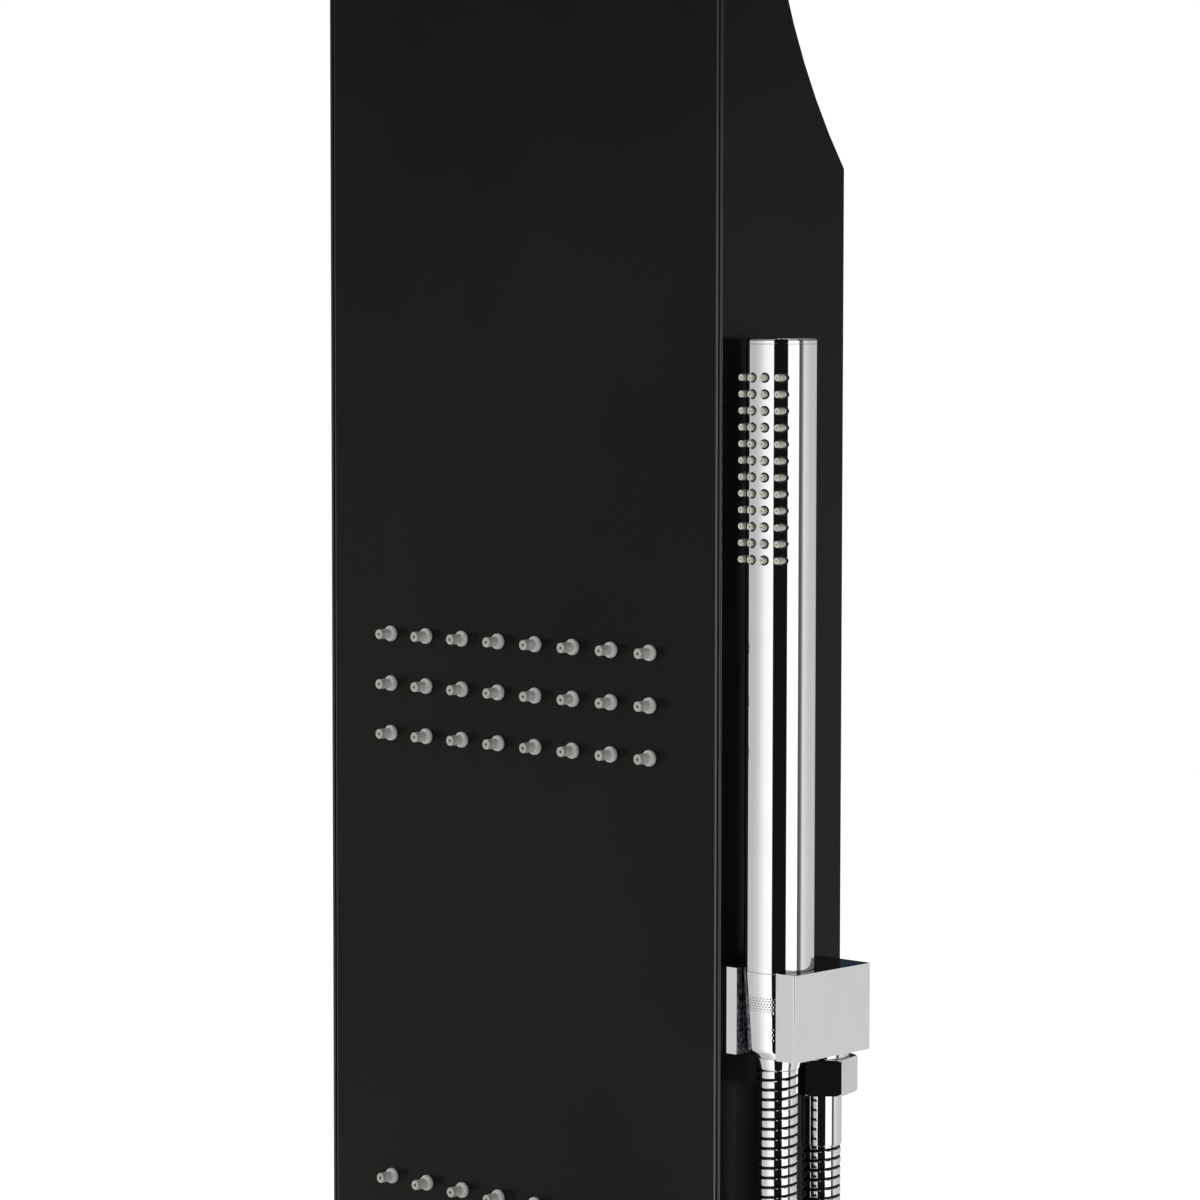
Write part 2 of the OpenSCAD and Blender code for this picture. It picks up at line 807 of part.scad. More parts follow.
// Body jets and rain field.
module jet_nozzles_upper() {
    color(silicone)
        at_front(0, jet_groups[0])
            nozzle_mat(jet_rows, nozzle_pitch);
}
module jet_nozzles_lower() {
    color(silicone)
        at_front(0, jet_groups[1])
            nozzle_mat(jet_rows, nozzle_pitch);
}
module jet_chamber(h) {
    color(plastic)
        at_front(0, h)
            difference() {
                water_chamber(jet_rows, nozzle_pitch, jet_chamber_d, [-jet_stud_y, jet_stud_y]);
                translate([-jet_pipe_x, 0, -front_t - mat_t - jet_chamber_d - over])
                    cylinder(h = chamber_wall + 2 * over, d = pipe_bore);
            }
}
module jet_chamber_upper() {
    jet_chamber(jet_groups[0]);
}
module jet_chamber_lower() {
    jet_chamber(jet_groups[1]);
}
module rain_nozzles() {
    color(silicone)
        at_underside()
            nozzle_mat(rain_rows, rain_pitch);
}
module rain_chamber() {
    color(plastic)
        at_underside()
            difference() {
                water_chamber(rain_rows, rain_pitch, rain_chamber_d, [-rain_stud_y, 0, rain_stud_y]);
                translate([0, -rain_span / 2 - mat_margin - over, rain_feed_z])
                    rotate([-90, 0, 0])
                        cylinder(h = chamber_wall + 2 * over, d = pipe_bore);
            }
}
module chamber_nuts() {
    color(steel) {
        for (h = jet_groups)
            at_front(0, h)
                stud_nuts([-jet_stud_y, jet_stud_y]);
        at_underside()
            stud_nuts([-rain_stud_y, 0, rain_stud_y]);
    }
}

// Mixer. Local z points out of the front face.
module ports(seat_r, share, outs) {
    for (d = outs) {
        translate([d[0] * seat_r * share, d[1] * seat_r * share, -pipe_back])
            cylinder(h = pipe_back - seat_depth + over, d = port_d);
        rod([d[0] * seat_r * share, d[1] * seat_r * share, -pipe_back],
            [d[0] * panel_d, d[1] * panel_d, -pipe_back], port_d / 2);
    }
}
module mixer_body() {
    color(brass)
        at_front(0, mixer_h)
            difference() {
                union() {
                    translate([0, 0, -front_t - valve_depth])
                        cylinder(h = valve_depth, d = mixer_body_d);
                    translate([0, 0, -front_t - over])
                        cylinder(h = front_t + over + mixer_neck_top, r = mixer_neck_r);
                    rod([-inlet_x, 0, -pipe_back], [inlet_x, 0, -pipe_back], pipe_d);
                    for (side = [-1, 1])
                        rod([side * inlet_x, pipe_d, -pipe_back],
                            [side * inlet_x, -arm_r, -pipe_back], arm_r);
                }
                translate([0, 0, -seat_depth])
                    cylinder(h = seat_depth + mixer_neck_top + over, r = mixer_seat_r);
                intersection() {
                    ports(mixer_seat_r, mixer_port_share, [[-1, 0], [1, 0], [0, 1]]);
                    translate([-inlet_x, -panel_d, -panel_d])
                        cube([2 * inlet_x, 2 * panel_d, 2 * panel_d]);
                }
                for (side = [-1, 1])
                    rod([side * inlet_x, 0, -pipe_back],
                        [side * inlet_x, -arm_r - over, -pipe_back], inlet_bore / 2);
            }
}
module mixer_cartridge() {
    color(plastic)
        at_front(0, mixer_h)
            difference() {
                translate([0, 0, -seat_depth])
                    cylinder(h = seat_depth, d = mixer_cartridge_d);
                for (d = [[-1, 0], [1, 0], [0, 1]])
                    translate([d[0] * mixer_seat_r * mixer_port_share,
                        d[1] * mixer_seat_r * mixer_port_share, -seat_depth - over])
                        cylinder(h = seat_depth * port_depth_share + over, d = port_d);
            }
}
module mixer_lock_ring() {
    color(brass)
        at_front(0, mixer_h)
            tube(mixer_seat_r - fit, ring_bore_r, ring_h);
}
module mixer_trim() {
    color(chrome)
        at_front(0, mixer_h)
            tube(mixer_trim_d / 2, mixer_neck_r + fit, trim_t);
}
module mixer_sleeve() {
    color(chrome)
        at_front(0, mixer_h)
            translate([0, 0, trim_t])
                difference() {
                    cylinder(h = mixer_sleeve_len, d = mixer_sleeve_d);
                    translate([0, 0, -over])
                        cylinder(h = mixer_sleeve_len + 2 * over, r = mixer_neck_r + fit);
                    translate([0, 0, mixer_neck_top - trim_t])
                        cylinder(h = mixer_sleeve_len, r = sleeve_bore_r);
                }
}
module mixer_cap() {
    cap_low = sleeve_top - cap_spigot;
    cap_top = sleeve_top + turn_gap + mixer_cap_len;
    r = lever_d / 2 + ball_gap;
    far = cap_top - ball_z + over;
    color(chrome)
        at_front(0, mixer_h)
            difference() {
                union() {
                    translate([0, 0, cap_low])
                        cylinder(h = cap_top - cap_low, r = sleeve_bore_r - turn_gap);
                    translate([0, 0, sleeve_top + turn_gap])
                        cylinder(h = mixer_cap_len, d = mixer_sleeve_d);
                }
                translate([0, 0, ball_z])
                    sphere(lever_ball_d / 2 + ball_gap);
                translate([0, 0, cap_low - over])
                    cylinder(h = ball_z - cap_low + over, d = lever_ball_d * slight_taper_share);
                translate([r, 0, ball_z])
                    rotate([0, -90, 0])
                        linear_extrude(2 * r)
                            polygon([
                                [0, -r], [far, -r],
                                [far, far * tan(lever_lift) + r / cos(lever_lift)],
                                [0, r / cos(lever_lift)]
                            ]);
            }
}
module mixer_lever() {
    color(chrome)
        at_front(0, mixer_h)
            translate([0, 0, ball_z]) {
                sphere(d = lever_ball_d);
                translate([0, 0, -lever_stub])
                    cylinder(h = lever_stub + lever_len - lever_d / 2, d = lever_d);
                translate([0, 0, lever_len - lever_d / 2])
                    sphere(d = lever_d);
            }
}
module inlet_nipple(x) {
    color(brass)
        at_front(x, mixer_h)
            translate([0, -arm_r, -pipe_back])
                rotate([90, 0, 0])
                    tube(inlet_d / 2, inlet_bore / 2, inlet_len);
}
module inlet_nipple_hot() {
    inlet_nipple(-inlet_x);
}
module inlet_nipple_cold() {
    inlet_nipple(inlet_x);
}

// Diverter. Local z points out of the front face.
module diverter_body() {
    color(brass)
        at_front(0, diverter_h)
            difference() {
                union() {
                    translate([0, 0, -front_t - valve_depth])
                        cylinder(h = valve_depth, d = diverter_body_d);
                    translate([0, 0, -front_t - over])
                        cylinder(h = front_t + over + trim_t - fit, r = diverter_neck_r);
                }
                translate([0, 0, -seat_depth])
                    cylinder(h = seat_depth + trim_t + over, r = diverter_seat_r);
                ports(diverter_seat_r, diverter_port_share, [[-1, 0], [1, 0], [0, 1], [0, -1]]);
            }
}
module diverter_cartridge() {
    color(plastic)
        at_front(0, diverter_h)
            difference() {
                translate([0, 0, -seat_depth])
                    cylinder(h = seat_depth + trim_t - 2 * fit, d = diverter_cartridge_d);
                translate([0, 0, spindle_low - turn_gap])
                    cylinder(h = seat_depth, r = spindle_r + fit / 2);
                for (d = [[-1, 0], [1, 0], [0, 1], [0, -1]])
                    translate([d[0] * diverter_seat_r * diverter_port_share,
                        d[1] * diverter_seat_r * diverter_port_share, -seat_depth - over])
                        cylinder(h = seat_depth * port_depth_share + over, d = port_d * small_port_share);
            }
}
module diverter_spindle() {
    color(brass)
        at_front(0, diverter_h)
            translate([0, 0, spindle_low])
                cylinder(h = spindle_top - spindle_low, r = spindle_r);
}
module diverter_trim() {
    color(chrome)
        at_front(0, diverter_h)
            tube(diverter_trim_d / 2, diverter_neck_r + fit, trim_t);
}
module diverter_knob() {
    bar_len = knob_base_len + knob_bar_h - knob_face;
    color(chrome)
        at_front(0, diverter_h)
            difference() {
                union() {
                    translate([0, 0, knob_z])
                        cylinder(h = knob_base_len, d = knob_d);
                    translate([-knob_bar_w / 2, -knob_bar_reach + knob_bar_w / 2, knob_z + knob_face])
                        cube([knob_bar_w, 2 * knob_bar_reach - knob_bar_w, bar_len]);
                    for (side = [-1, 1])
                        translate([0, side * (knob_bar_reach - knob_bar_w / 2), knob_z + knob_face])
                            cylinder(h = bar_len, d = knob_bar_w);
                }
                translate([0, 0, knob_z - over])
                    cylinder(h = spindle_top - knob_z + over, r = spindle_r + fit);
                rod([0, 0, knob_z + knob_base_len / 2],
                    [0, -knob_d, knob_z + knob_base_len / 2], grub_d / 2 + fit);
            }
}
module knob_grub_screw() {
    z = knob_z + knob_base_len / 2;
    color(steel)
        at_front(0, diverter_h)
            difference() {
                rod([0, -spindle_r, z], [0, -knob_d / 2 + over, z], grub_d / 2);
                translate([0, -knob_d / 2, z])
                    rotate([-90, 0, 0])
                        hex(grub_d / 2, grub_d);
            }
}

// Pipes, drawn in the frame of the whole part.
module link_pipe() {
    color(brass)
        pipe([[0, pipe_y, up(mixer_h + mixer_body_d / 2)],
            [0, pipe_y, up(diverter_h - diverter_body_d / 2)]]);
}
module rain_pipe() {
    arc_r = front_bend_r + neck_d / 2;
    color(brass)
        pipe(concat(
            [[0, pipe_y, up(diverter_h + diverter_body_d / 2)],
                [0, pipe_y, up(corner_h - 3 * neck_d)], [0, neck_pipe_y, up(corner_h)]],
            [for (a = [0 : 15 : 90])
                [0, -bend_u + arc_r * cos(a), up(neck_h + arc_r * sin(a))]],
            [[0, -rain_back_u, up(under_h + neck_d / 2)]]
        ));
}
module jet_pipe() {
    low = up(jet_groups[1]);
    top = up(jet_groups[0]);
    color(brass)
        difference() {
            union() {
                path_rods([[-diverter_body_d / 2, pipe_y, up(diverter_h)],
                    [-jet_pipe_x, pipe_y, up(diverter_h)], [-jet_pipe_x, pipe_y, top],
                    [-jet_pipe_x, chamber_back_y, top]], pipe_d / 2);
                rod([-jet_pipe_x, pipe_y, low], [-jet_pipe_x, chamber_back_y, low],
                    branch_share * pipe_d / 2);
            }
            path_rods([[-diverter_body_d / 2 + over, pipe_y, up(diverter_h)],
                [-jet_pipe_x, pipe_y, up(diverter_h)], [-jet_pipe_x, pipe_y, top],
                [-jet_pipe_x, chamber_back_y - over, top]], pipe_bore / 2);
            rod([-jet_pipe_x, pipe_y, low], [-jet_pipe_x, chamber_back_y - over, low],
                branch_share * pipe_bore / 2);
        }
}
module handset_pipe() {
    y = -outlet_u;
    color(brass)
        pipe([[diverter_body_d / 2, pipe_y, up(diverter_h)],
            [handset_pipe_x, pipe_y, up(diverter_h)],
            [handset_pipe_x, y, up(feed_h - 2 * pipe_d)],
            [handset_pipe_x, y, up(feed_h)], [feed_end_x, y, up(feed_h)]]);
}

// Holder block and its fixings.
function cone_r(depth) =
    (cone_top_d + (cone_low_d - cone_top_d) * depth / cone_nut_len) / 2;
module holder_block() {
    color(chrome)
        difference() {
            translate([panel_w / 2, -block_u, up(block_low_h)])
                linear_extrude(block_h)
                    rounded(block_w, block_d, block_edge_r);
            at_stick(block_low_h - over)
                cylinder(h = block_h + 2 * over,
                    r1 = cone_r(block_h + over - stick_sunk) + seat_gap,
                    r2 = cone_r(-stick_sunk - over) + seat_gap);
            at_stick(block_low_h - over)
                translate([-slot_w / 2 - slot_shift, -seat_back - over, 0])
                    cube([slot_w, seat_back + over, block_h + 2 * over]);
            translate([panel_w / 2 - over, -outlet_u, up(feed_h)])
                rotate([0, 90, 0])
                    cylinder(h = feed_in + over, r = feed_stud_d / 2 + fit);
            rod([panel_w / 2, -outlet_u, up(feed_h)], [stick_x, -outlet_u, up(feed_h)],
                channel_d / 2);
            at_outlet(block_low_h - over)
                cylinder(h = block_h / 2 + over, d = channel_d);
            at_outlet(block_low_h - over)
                cylinder(h = feed_in + over, r = feed_stud_d / 2 + fit);
            translate([panel_w / 2 - over, -screw_u, up(feed_h)])
                rotate([0, 90, 0])
                    cylinder(h = screw_in + 2 * over, r = screw_d / 2 + fit);
        }
}
module block_nipple() {
    color(brass)
        translate([feed_end_x, -outlet_u, up(feed_h)])
            rotate([0, 90, 0])
                tube(feed_stud_d / 2, channel_d / 2, panel_w / 2 + feed_in - feed_end_x);
}
module block_locknut() {
    color(brass)
        translate([panel_w / 2 - side_t - lock_h, -outlet_u, up(feed_h)])
            rotate([0, 90, 0])
                difference() {
                    hex(lock_af, lock_h);
                    translate([0, 0, -over])
                        cylinder(h = lock_h + 2 * over, r = feed_stud_d / 2 + fit);
                }
}
module block_screw() {
    head_h = screw_d * screw_head_h_share;
    color(steel)
        translate([panel_w / 2 - side_t, -screw_u, up(feed_h)])
            rotate([0, 90, 0]) {
                cylinder(h = side_t + screw_in, d = screw_d);
                translate([0, 0, -head_h])
                    cylinder(h = head_h, d = screw_d * screw_head_d_share);
            }
}

// Hose outlet under the block.
module outlet_nipple() {
    color(chrome)
        at_outlet(hex_top_h)
            difference() {
                union() {
                    cylinder(h = nipple_show, d = nipple_rim_d);
                    cylinder(h = nipple_show + feed_in - over, d = feed_stud_d);
                    translate([0, 0, -hex_h / 2])
                        cylinder(h = hex_h / 2, r = seal_r);
                }
                translate([0, 0, -hex_h])
                    cylinder(h = 2 * hex_h + feed_in, d = channel_d);
            }
}
module hose_washer() {
    color(plastic)
        at_outlet(hex_top_h - hex_h / 2 - washer_t)
            tube(seal_r, channel_d / 2, washer_t);
}
module hose_nut() {
    color(chrome)
        at_outlet(hex_low_h)
            difference() {
                rotate([0, 0, hex_turn])
                    hex(hex_af, hex_h);
                translate([0, 0, -over])
                    cylinder(h = hex_h + 2 * over, r = stem_r + fit);
                translate([0, 0, hex_h / 2 - washer_t - flange_t / 2])
                    cylinder(h = hex_h, r = seal_r + fit);
            }
}
module hose_ferrule() {
    top = hex_top_h - hex_h / 2 - washer_t - fit;
    color(chrome)
        at_outlet(ferrule_low_h)
            difference() {
                union() {
                    cylinder(h = ferrule_len, d = ferrule_d);
                    cylinder(h = up(top) - up(ferrule_low_h), r = stem_r);
                    translate([0, 0, up(top) - up(ferrule_low_h) - flange_t / 2 + fit])
                        cylinder(h = flange_t / 2 - fit, r = seal_r - lip);
                }
                translate([0, 0, -over])
                    cylinder(h = ferrule_len + hex_h, r = tail_r);
            }
}

// Ribbed steel hose: each rib is a ring on the crest and a ring in the groove.
module hose() {
    crest = hose_d / 2;
    groove = crest - rib_depth;
    bore_rings = 60;
    outer = [
        for (i = [0 : 2 * rib_count])
            hose_ring(hose_len * i / (2 * rib_count), i % 2 == 0 ? crest : groove)
    ];
    inner = [for (i = [0 : bore_rings]) hose_ring(hose_len * i / bore_rings, tail_r)];
    n = hose_sides;
    first = len(outer) * n;
    points = concat([for (ring = outer) each ring], [for (ring = inner) each ring]);
    function skin(start, rings, flip) = [
        for (i = [0 : rings - 2], k = [0 : n - 1])
            let (
                a = start + i * n + k,
                b = start + i * n + (k + 1) % n
            )
            each flip
                ? [[a, b, b + n], [a, b + n, a + n]]
                : [[a, b + n, b], [a, a + n, b + n]]
    ];
    function lid(a0, b0, flip) = [
        for (k = [0 : n - 1])
            let (
                a = a0 + k,
                b = a0 + (k + 1) % n,
                c = b0 + k,
                d = b0 + (k + 1) % n
            )
            each flip ? [[a, c, d], [a, d, b]] : [[a, d, c], [a, b, d]]
    ];
    color(chrome)
        polyhedron(points, concat(
            skin(0, len(outer), false),
            skin(first, len(inner), true),
            lid(0, first, false),
            lid(first - n, first + (len(inner) - 1) * n, true)
        ));
}
module hose_collar() {
    top = cone_low_h + cone_nut_len - thread_len - washer_t - fit;
    color(chrome)
        at_stick(collar_low_h)
            difference() {
                union() {
                    cylinder(h = collar_len - fit, d1 = collar_low_d, d2 = collar_top_d);
                    cylinder(h = top - collar_low_h, r = stem_r);
                    translate([0, 0, top - collar_low_h - flange_t])
                        cylinder(h = flange_t, r = cone_thread_r - lip);
                }
                translate([0, 0, -over])
                    cylinder(h = cone_nut_len + collar_len, r = tail_r);
            }
}
module cone_nut() {
    low_r = cone_low_d / 2;
    color(chrome)
        at_stick(cone_low_h)
            difference() {
                rotate_extrude()
                    polygon([
                        [0, 0], [low_r - cone_bevel * bevel_share, 0], [low_r, cone_bevel],
                        [cone_top_d / 2, cone_nut_len], [0, cone_nut_len]
                    ]);
                translate([0, 0, -over])
                    cylinder(h = cone_nut_len + 2 * over, r = stem_r + 3 * fit);
                translate([0, 0, cone_nut_len - thread_len - washer_t - flange_t - 5 * fit])
                    cylinder(h = cone_nut_len, r = cone_thread_r);
                for (band = band_places)
                    translate([0, 0, cone_nut_len * band])
                        tube(cone_top_d, cone_r(cone_nut_len * (1 - band)) - band_depth, band_h);
            }
}

// Hand shower.
module handset_washer() {
    color(plastic)
        at_stick(stick_low_h - thread_len - washer_t)
            tube(cone_thread_r - lip, core_bore_r, washer_t);
}
module handset_inlet() {
    color(brass)
        at_stick(stick_low_h - thread_len)
            difference() {
                union() {
                    cylinder(h = thread_len + plug_len, r = cone_thread_r - fit);
                    translate([0, 0, thread_len])
                        cylinder(h = plug_len, r = stick_bore_r - fit);
                }
                translate([0, 0, -over])
                    cylinder(h = thread_len + plug_len + 2 * over, r = core_bore_r);
            }
}
module handset_core() {
    low = stick_low_h + plug_len;
    len = stick_len - cap_len - 2 * plug_len;
    first_row = stick_len - spray_down - plug_len;
    color(plastic)
        at_stick(low)
            difference() {
                tube(core_r, core_bore_r, len);
                for (side = [0, 1])
                    mirror([side, 0, 0])
                        translate([core_rib / 2, -stick_d, first_row - spray_span - spray_tip_d / 2])
                            cube([core_r, stick_d - window_back, spray_span + spray_tip_d]);
            }
}
function spray_end(x) = stick_d / 2 + spray_tip_h - spray_tip_back * pow(2 * x / stick_d, 2);
// A rod forward at each spray place, as long as a tip or right through the front of the stick.
module spray_rods(d, tips = false) {
    for (row = [0 : spray_rows - 1], col = [0 : spray_columns - 1]) {
        x = col * spray_column_pitch - spray_x;
        translate([x, 0, stick_len - spray_down - row * spray_pitch])
            rotate([90, 0, 0])
                cylinder(h = tips ? spray_end(x) : stick_d, d = d);
    }
}
module handset_nozzles() {
    sheet_low = stick_len - spray_down - spray_span - spray_pitch;
    sheet_top = min(stick_len - spray_down + spray_pitch, stick_len - cap_len - plug_len - fit);
    color(silicone)
        at_stick(stick_low_h)
            difference() {
                union() {
                    translate([0, 0, sheet_low])
                        intersection() {
                            cylinder(h = sheet_top - sheet_low, r = stick_bore_r - fit / 2);
                            translate([-stick_d / 2, -stick_d - sheet_back, -over])
                                cube([stick_d, stick_d, sheet_top - sheet_low + 2 * over]);
                        }
                    spray_rods(spray_tip_d, true);
                }
                cylinder(h = stick_len, r = core_r + fit);
                spray_rods(nozzle_bore_d * small_port_share);
            }
}
module handset_body() {
    color(chrome)
        at_stick(stick_low_h)
            difference() {
                cylinder(h = stick_len - cap_len, d = stick_d);
                translate([0, 0, -over])
                    cylinder(h = stick_len + over, r = stick_bore_r);
                spray_rods(spray_hole_d);
            }
}
module handset_cap() {
    bevel = cap_len / 2;
    color(chrome)
        at_stick(stick_top_h - cap_len) {
            rotate_extrude()
                polygon([
                    [0, 0], [stick_d / 2, 0], [stick_d / 2, cap_len - bevel],
                    [stick_d / 2 - bevel, cap_len], [0, cap_len]
                ]);
            translate([0, 0, -plug_len])
                cylinder(h = plug_len + bevel, r = stick_bore_r - fit);
        }
}

front_plate();
side_plate_left();
side_plate_right();
top_cover();
bottom_plate();
corner_angle_left();
corner_angle_right();
overhead_angle_left();
overhead_angle_right();
hanger_upper();
hanger_lower();
wall_bracket_upper();
wall_bracket_lower();
jet_nozzles_upper();
jet_nozzles_lower();
jet_chamber_upper();
jet_chamber_lower();
rain_nozzles();
rain_chamber();
chamber_nuts();
mixer_body();
mixer_cartridge();
mixer_lock_ring();
mixer_trim();
mixer_sleeve();
mixer_cap();
mixer_lever();
inlet_nipple_hot();
inlet_nipple_cold();
link_pipe();
diverter_body();
diverter_cartridge();
diverter_spindle();
diverter_trim();
diverter_knob();
knob_grub_screw();
rain_pipe();
jet_pipe();
handset_pipe();
holder_block();
block_nipple();
block_locknut();
block_screw();
outlet_nipple();
hose_washer();
hose_nut();
hose_ferrule();
hose();
hose_collar();
cone_nut();
handset_washer();
handset_inlet();
handset_core();
handset_nozzles();
handset_body();
handset_cap();
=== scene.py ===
"""Looks of the shower panel column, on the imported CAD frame. Metres, in the CAD's own frame."""
import json

import bmesh
import bpy
from math import atan2, ceil, cos, hypot, pi, radians, sin, sqrt
from mathutils import Matrix, Vector


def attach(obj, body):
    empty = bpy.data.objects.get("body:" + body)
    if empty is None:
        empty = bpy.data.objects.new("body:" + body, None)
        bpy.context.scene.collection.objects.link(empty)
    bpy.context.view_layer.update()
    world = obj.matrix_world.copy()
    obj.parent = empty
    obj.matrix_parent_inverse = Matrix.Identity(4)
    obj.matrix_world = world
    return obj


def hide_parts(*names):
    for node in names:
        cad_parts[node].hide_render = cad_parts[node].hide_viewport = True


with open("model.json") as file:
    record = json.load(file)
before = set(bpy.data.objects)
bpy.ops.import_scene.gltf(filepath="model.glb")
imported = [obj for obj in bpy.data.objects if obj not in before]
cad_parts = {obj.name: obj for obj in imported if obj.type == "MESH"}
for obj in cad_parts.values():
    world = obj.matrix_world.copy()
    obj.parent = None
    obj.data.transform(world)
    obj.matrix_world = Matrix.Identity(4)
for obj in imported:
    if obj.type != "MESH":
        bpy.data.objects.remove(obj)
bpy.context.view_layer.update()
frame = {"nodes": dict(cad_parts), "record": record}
MM = 0.001
# The upper wall bracket's height over the panel's bottom edge, and the panel's depth.
BRACKET_H = 960.0
PANEL_D = 67.0
SLOT_OF = {s["node"]: s["material_slot"] for s in frame["record"]["subparts"]}
BODY_OF = {n: b for b, names in frame["record"]["behaviour"]["bodies"].items() for n in names}


def spot(x, y, h):
    """A place in metres from X and Y in millimetres and a height above the bottom edge."""
    return Vector((x * MM, y * MM, (h - BRACKET_H) * MM))


# Camera, as solved from the photograph's edges and jets.
CAMERA_PLACE = (1.0401, -1.1406, 0.0069)
CAMERA_PAN, CAMERA_TILT, CAMERA_ROLL = 42.919, 86.132, 0.063
LENS, SENSOR = 121.58, 36.0
camera = bpy.data.objects.new("camera", bpy.data.cameras.new("camera"))
bpy.context.scene.collection.objects.link(camera)
camera.data.lens = LENS
camera.data.sensor_width = SENSOR
camera.data.clip_start, camera.data.clip_end = 0.05, 60.0
camera.matrix_world = (
    Matrix.Translation(CAMERA_PLACE)
    @ Matrix.Rotation(radians(CAMERA_PAN), 4, "Z")
    @ Matrix.Rotation(radians(CAMERA_TILT), 4, "X")
    @ Matrix.Rotation(radians(CAMERA_ROLL), 4, "Z")
)
bpy.context.scene.camera = camera
bpy.context.scene.view_settings.view_transform = "Standard"


# Materials.
def material(name, color, rough, metal=0.0):
    """A node material and its parts: (material, nodes, links, the shader)."""
    m = bpy.data.materials.new(name)
    m.use_nodes = True
    nodes, links = m.node_tree.nodes, m.node_tree.links
    shader = nodes["Principled BSDF"]
    shader.inputs["Base Color"].default_value = (*color, 1)
    shader.inputs["Roughness"].default_value = rough
    shader.inputs["Metallic"].default_value = metal
    return m, nodes, links, shader


def noise(nodes, links, scale, detail=2.0, stretch=(1, 1, 1), kind="ShaderNodeTexNoise"):
    """A noise in the object's own metres. Returns its value socket."""
    place = nodes.new("ShaderNodeTexCoord")
    grow = nodes.new("ShaderNodeMapping")
    grow.inputs["Scale"].default_value = stretch
    tex = nodes.new(kind)
    tex.inputs["Scale"].default_value = scale
    if "Detail" in tex.inputs:
        tex.inputs["Detail"].default_value = detail
    links.new(place.outputs["Object"], grow.inputs["Vector"])
    links.new(grow.outputs["Vector"], tex.inputs["Vector"])
    return tex.outputs["Fac"] if "Fac" in tex.outputs else tex.outputs["Distance"]


def spread(nodes, links, value, low, high, floor=0.3, top=0.7):
    """The value's range floor..top stretched to low..high."""
    m = nodes.new("ShaderNodeMapRange")
    m.inputs["From Min"].default_value, m.inputs["From Max"].default_value = floor, top
    m.inputs["To Min"].default_value, m.inputs["To Max"].default_value = low, high
    links.new(value, m.inputs["Value"])
    return m.outputs["Result"]


def tint(nodes, links, value, a, b, floor=0.3, top=0.7):
    """A colour from a to b over the value."""
    ramp = nodes.new("ShaderNodeValToRGB")
    ramp.color_ramp.elements[0].position, ramp.color_ramp.elements[1].position = floor, top
    ramp.color_ramp.elements[0].color = (*a, 1)
    ramp.color_ramp.elements[1].color = (*b, 1)
    links.new(value, ramp.inputs["Fac"])
    return ramp.outputs["Color"]


def bump(nodes, links, shader, value, strength, depth):
    """Fine relief from the value, depth in metres."""
    b = nodes.new("ShaderNodeBump")
    b.inputs["Strength"].default_value = strength
    b.inputs["Distance"].default_value = depth
    links.new(value, b.inputs["Height"])
    links.new(b.outputs["Normal"], shader.inputs["Normal"])


def black_coat(name, gloss, rough=0.22, tone=(1.0, 1.0, 1.0)):
    """Black powder coat: gloss is how much it mirrors, tone the colour of what it mirrors."""
    m, n, l, s = material(name, (0.004, 0.004, 0.0038), rough)
    s.inputs["Specular Tint"].default_value = (*tone, 1)
    s.inputs["Specular IOR Level"].default_value = gloss
    cloud = noise(n, l, 9.0, 3.0)
    l.new(tint(n, l, cloud, (0.0030, 0.0030, 0.0029), (0.0052, 0.0051, 0.0046)),
          s.inputs["Base Color"])
    l.new(spread(n, l, noise(n, l, 40.0, 3.0), rough, rough + 0.05), s.inputs["Roughness"])
    bump(n, l, s, noise(n, l, 2600.0, 2.0), 0.06, 0.0002)
    return m


def chrome(name, rough=0.035, color=(0.86, 0.86, 0.87), waves=0.0):
    """Chrome, with slight waves where it was plated over a casting or a wound strip."""
    m, n, l, s = material(name, color, rough, 1.0)
    l.new(spread(n, l, noise(n, l, 220.0, 4.0), rough * 0.6, rough * 1.6), s.inputs["Roughness"])
    l.new(tint(n, l, noise(n, l, 60.0, 2.0), [c * 0.97 for c in color], color),
          s.inputs["Base Color"])
    if waves:
        bump(n, l, s, noise(n, l, 180.0, 3.0), waves, 0.0006)
    return m


def silicone(name, dark, pale, through):
    """Silicone between two colours, with through as its share of light let through."""
    m, n, l, s = material(name, pale, 0.42)
    s.inputs["Subsurface Weight"].default_value = through
    s.inputs["Subsurface Scale"].default_value = 0.0012
    s.inputs["Subsurface Radius"].default_value = (1.0, 0.95, 0.85)
    s.inputs["Specular IOR Level"].default_value = 0.4
    l.new(tint(n, l, noise(n, l, 900.0, 3.0), dark, pale),
          s.inputs["Base Color"])
    bump(n, l, s, noise(n, l, 2400.0, 2.0), 0.12, 0.0001)
    return m


def brass():
    m, n, l, s = material("turned_brass", (0.62, 0.43, 0.17), 0.3, 1.0)
    rings = noise(n, l, 260.0, 4.0, (1, 1, 9))
    l.new(tint(n, l, noise(n, l, 45.0, 5.0), (0.50, 0.33, 0.12), (0.70, 0.50, 0.22)),
          s.inputs["Base Color"])
    l.new(spread(n, l, rings, 0.2, 0.42), s.inputs["Roughness"])
    bump(n, l, s, rings, 0.08, 0.0003)
    return m


def zinc():
    m, n, l, s = material("zinc_plated_steel", (0.5, 0.51, 0.52), 0.36, 1.0)
    grain = noise(n, l, 120.0, 5.0, (0.15, 1, 6))
    spangle = noise(n, l, 70.0, 1.0, kind="ShaderNodeTexVoronoi")
    l.new(tint(n, l, spangle, (0.40, 0.41, 0.42), (0.60, 0.61, 0.62), 0.1, 0.8),
          s.inputs["Base Color"])
    l.new(spread(n, l, grain, 0.28, 0.46), s.inputs["Roughness"])
    bump(n, l, s, grain, 0.05, 0.0002)
    return m


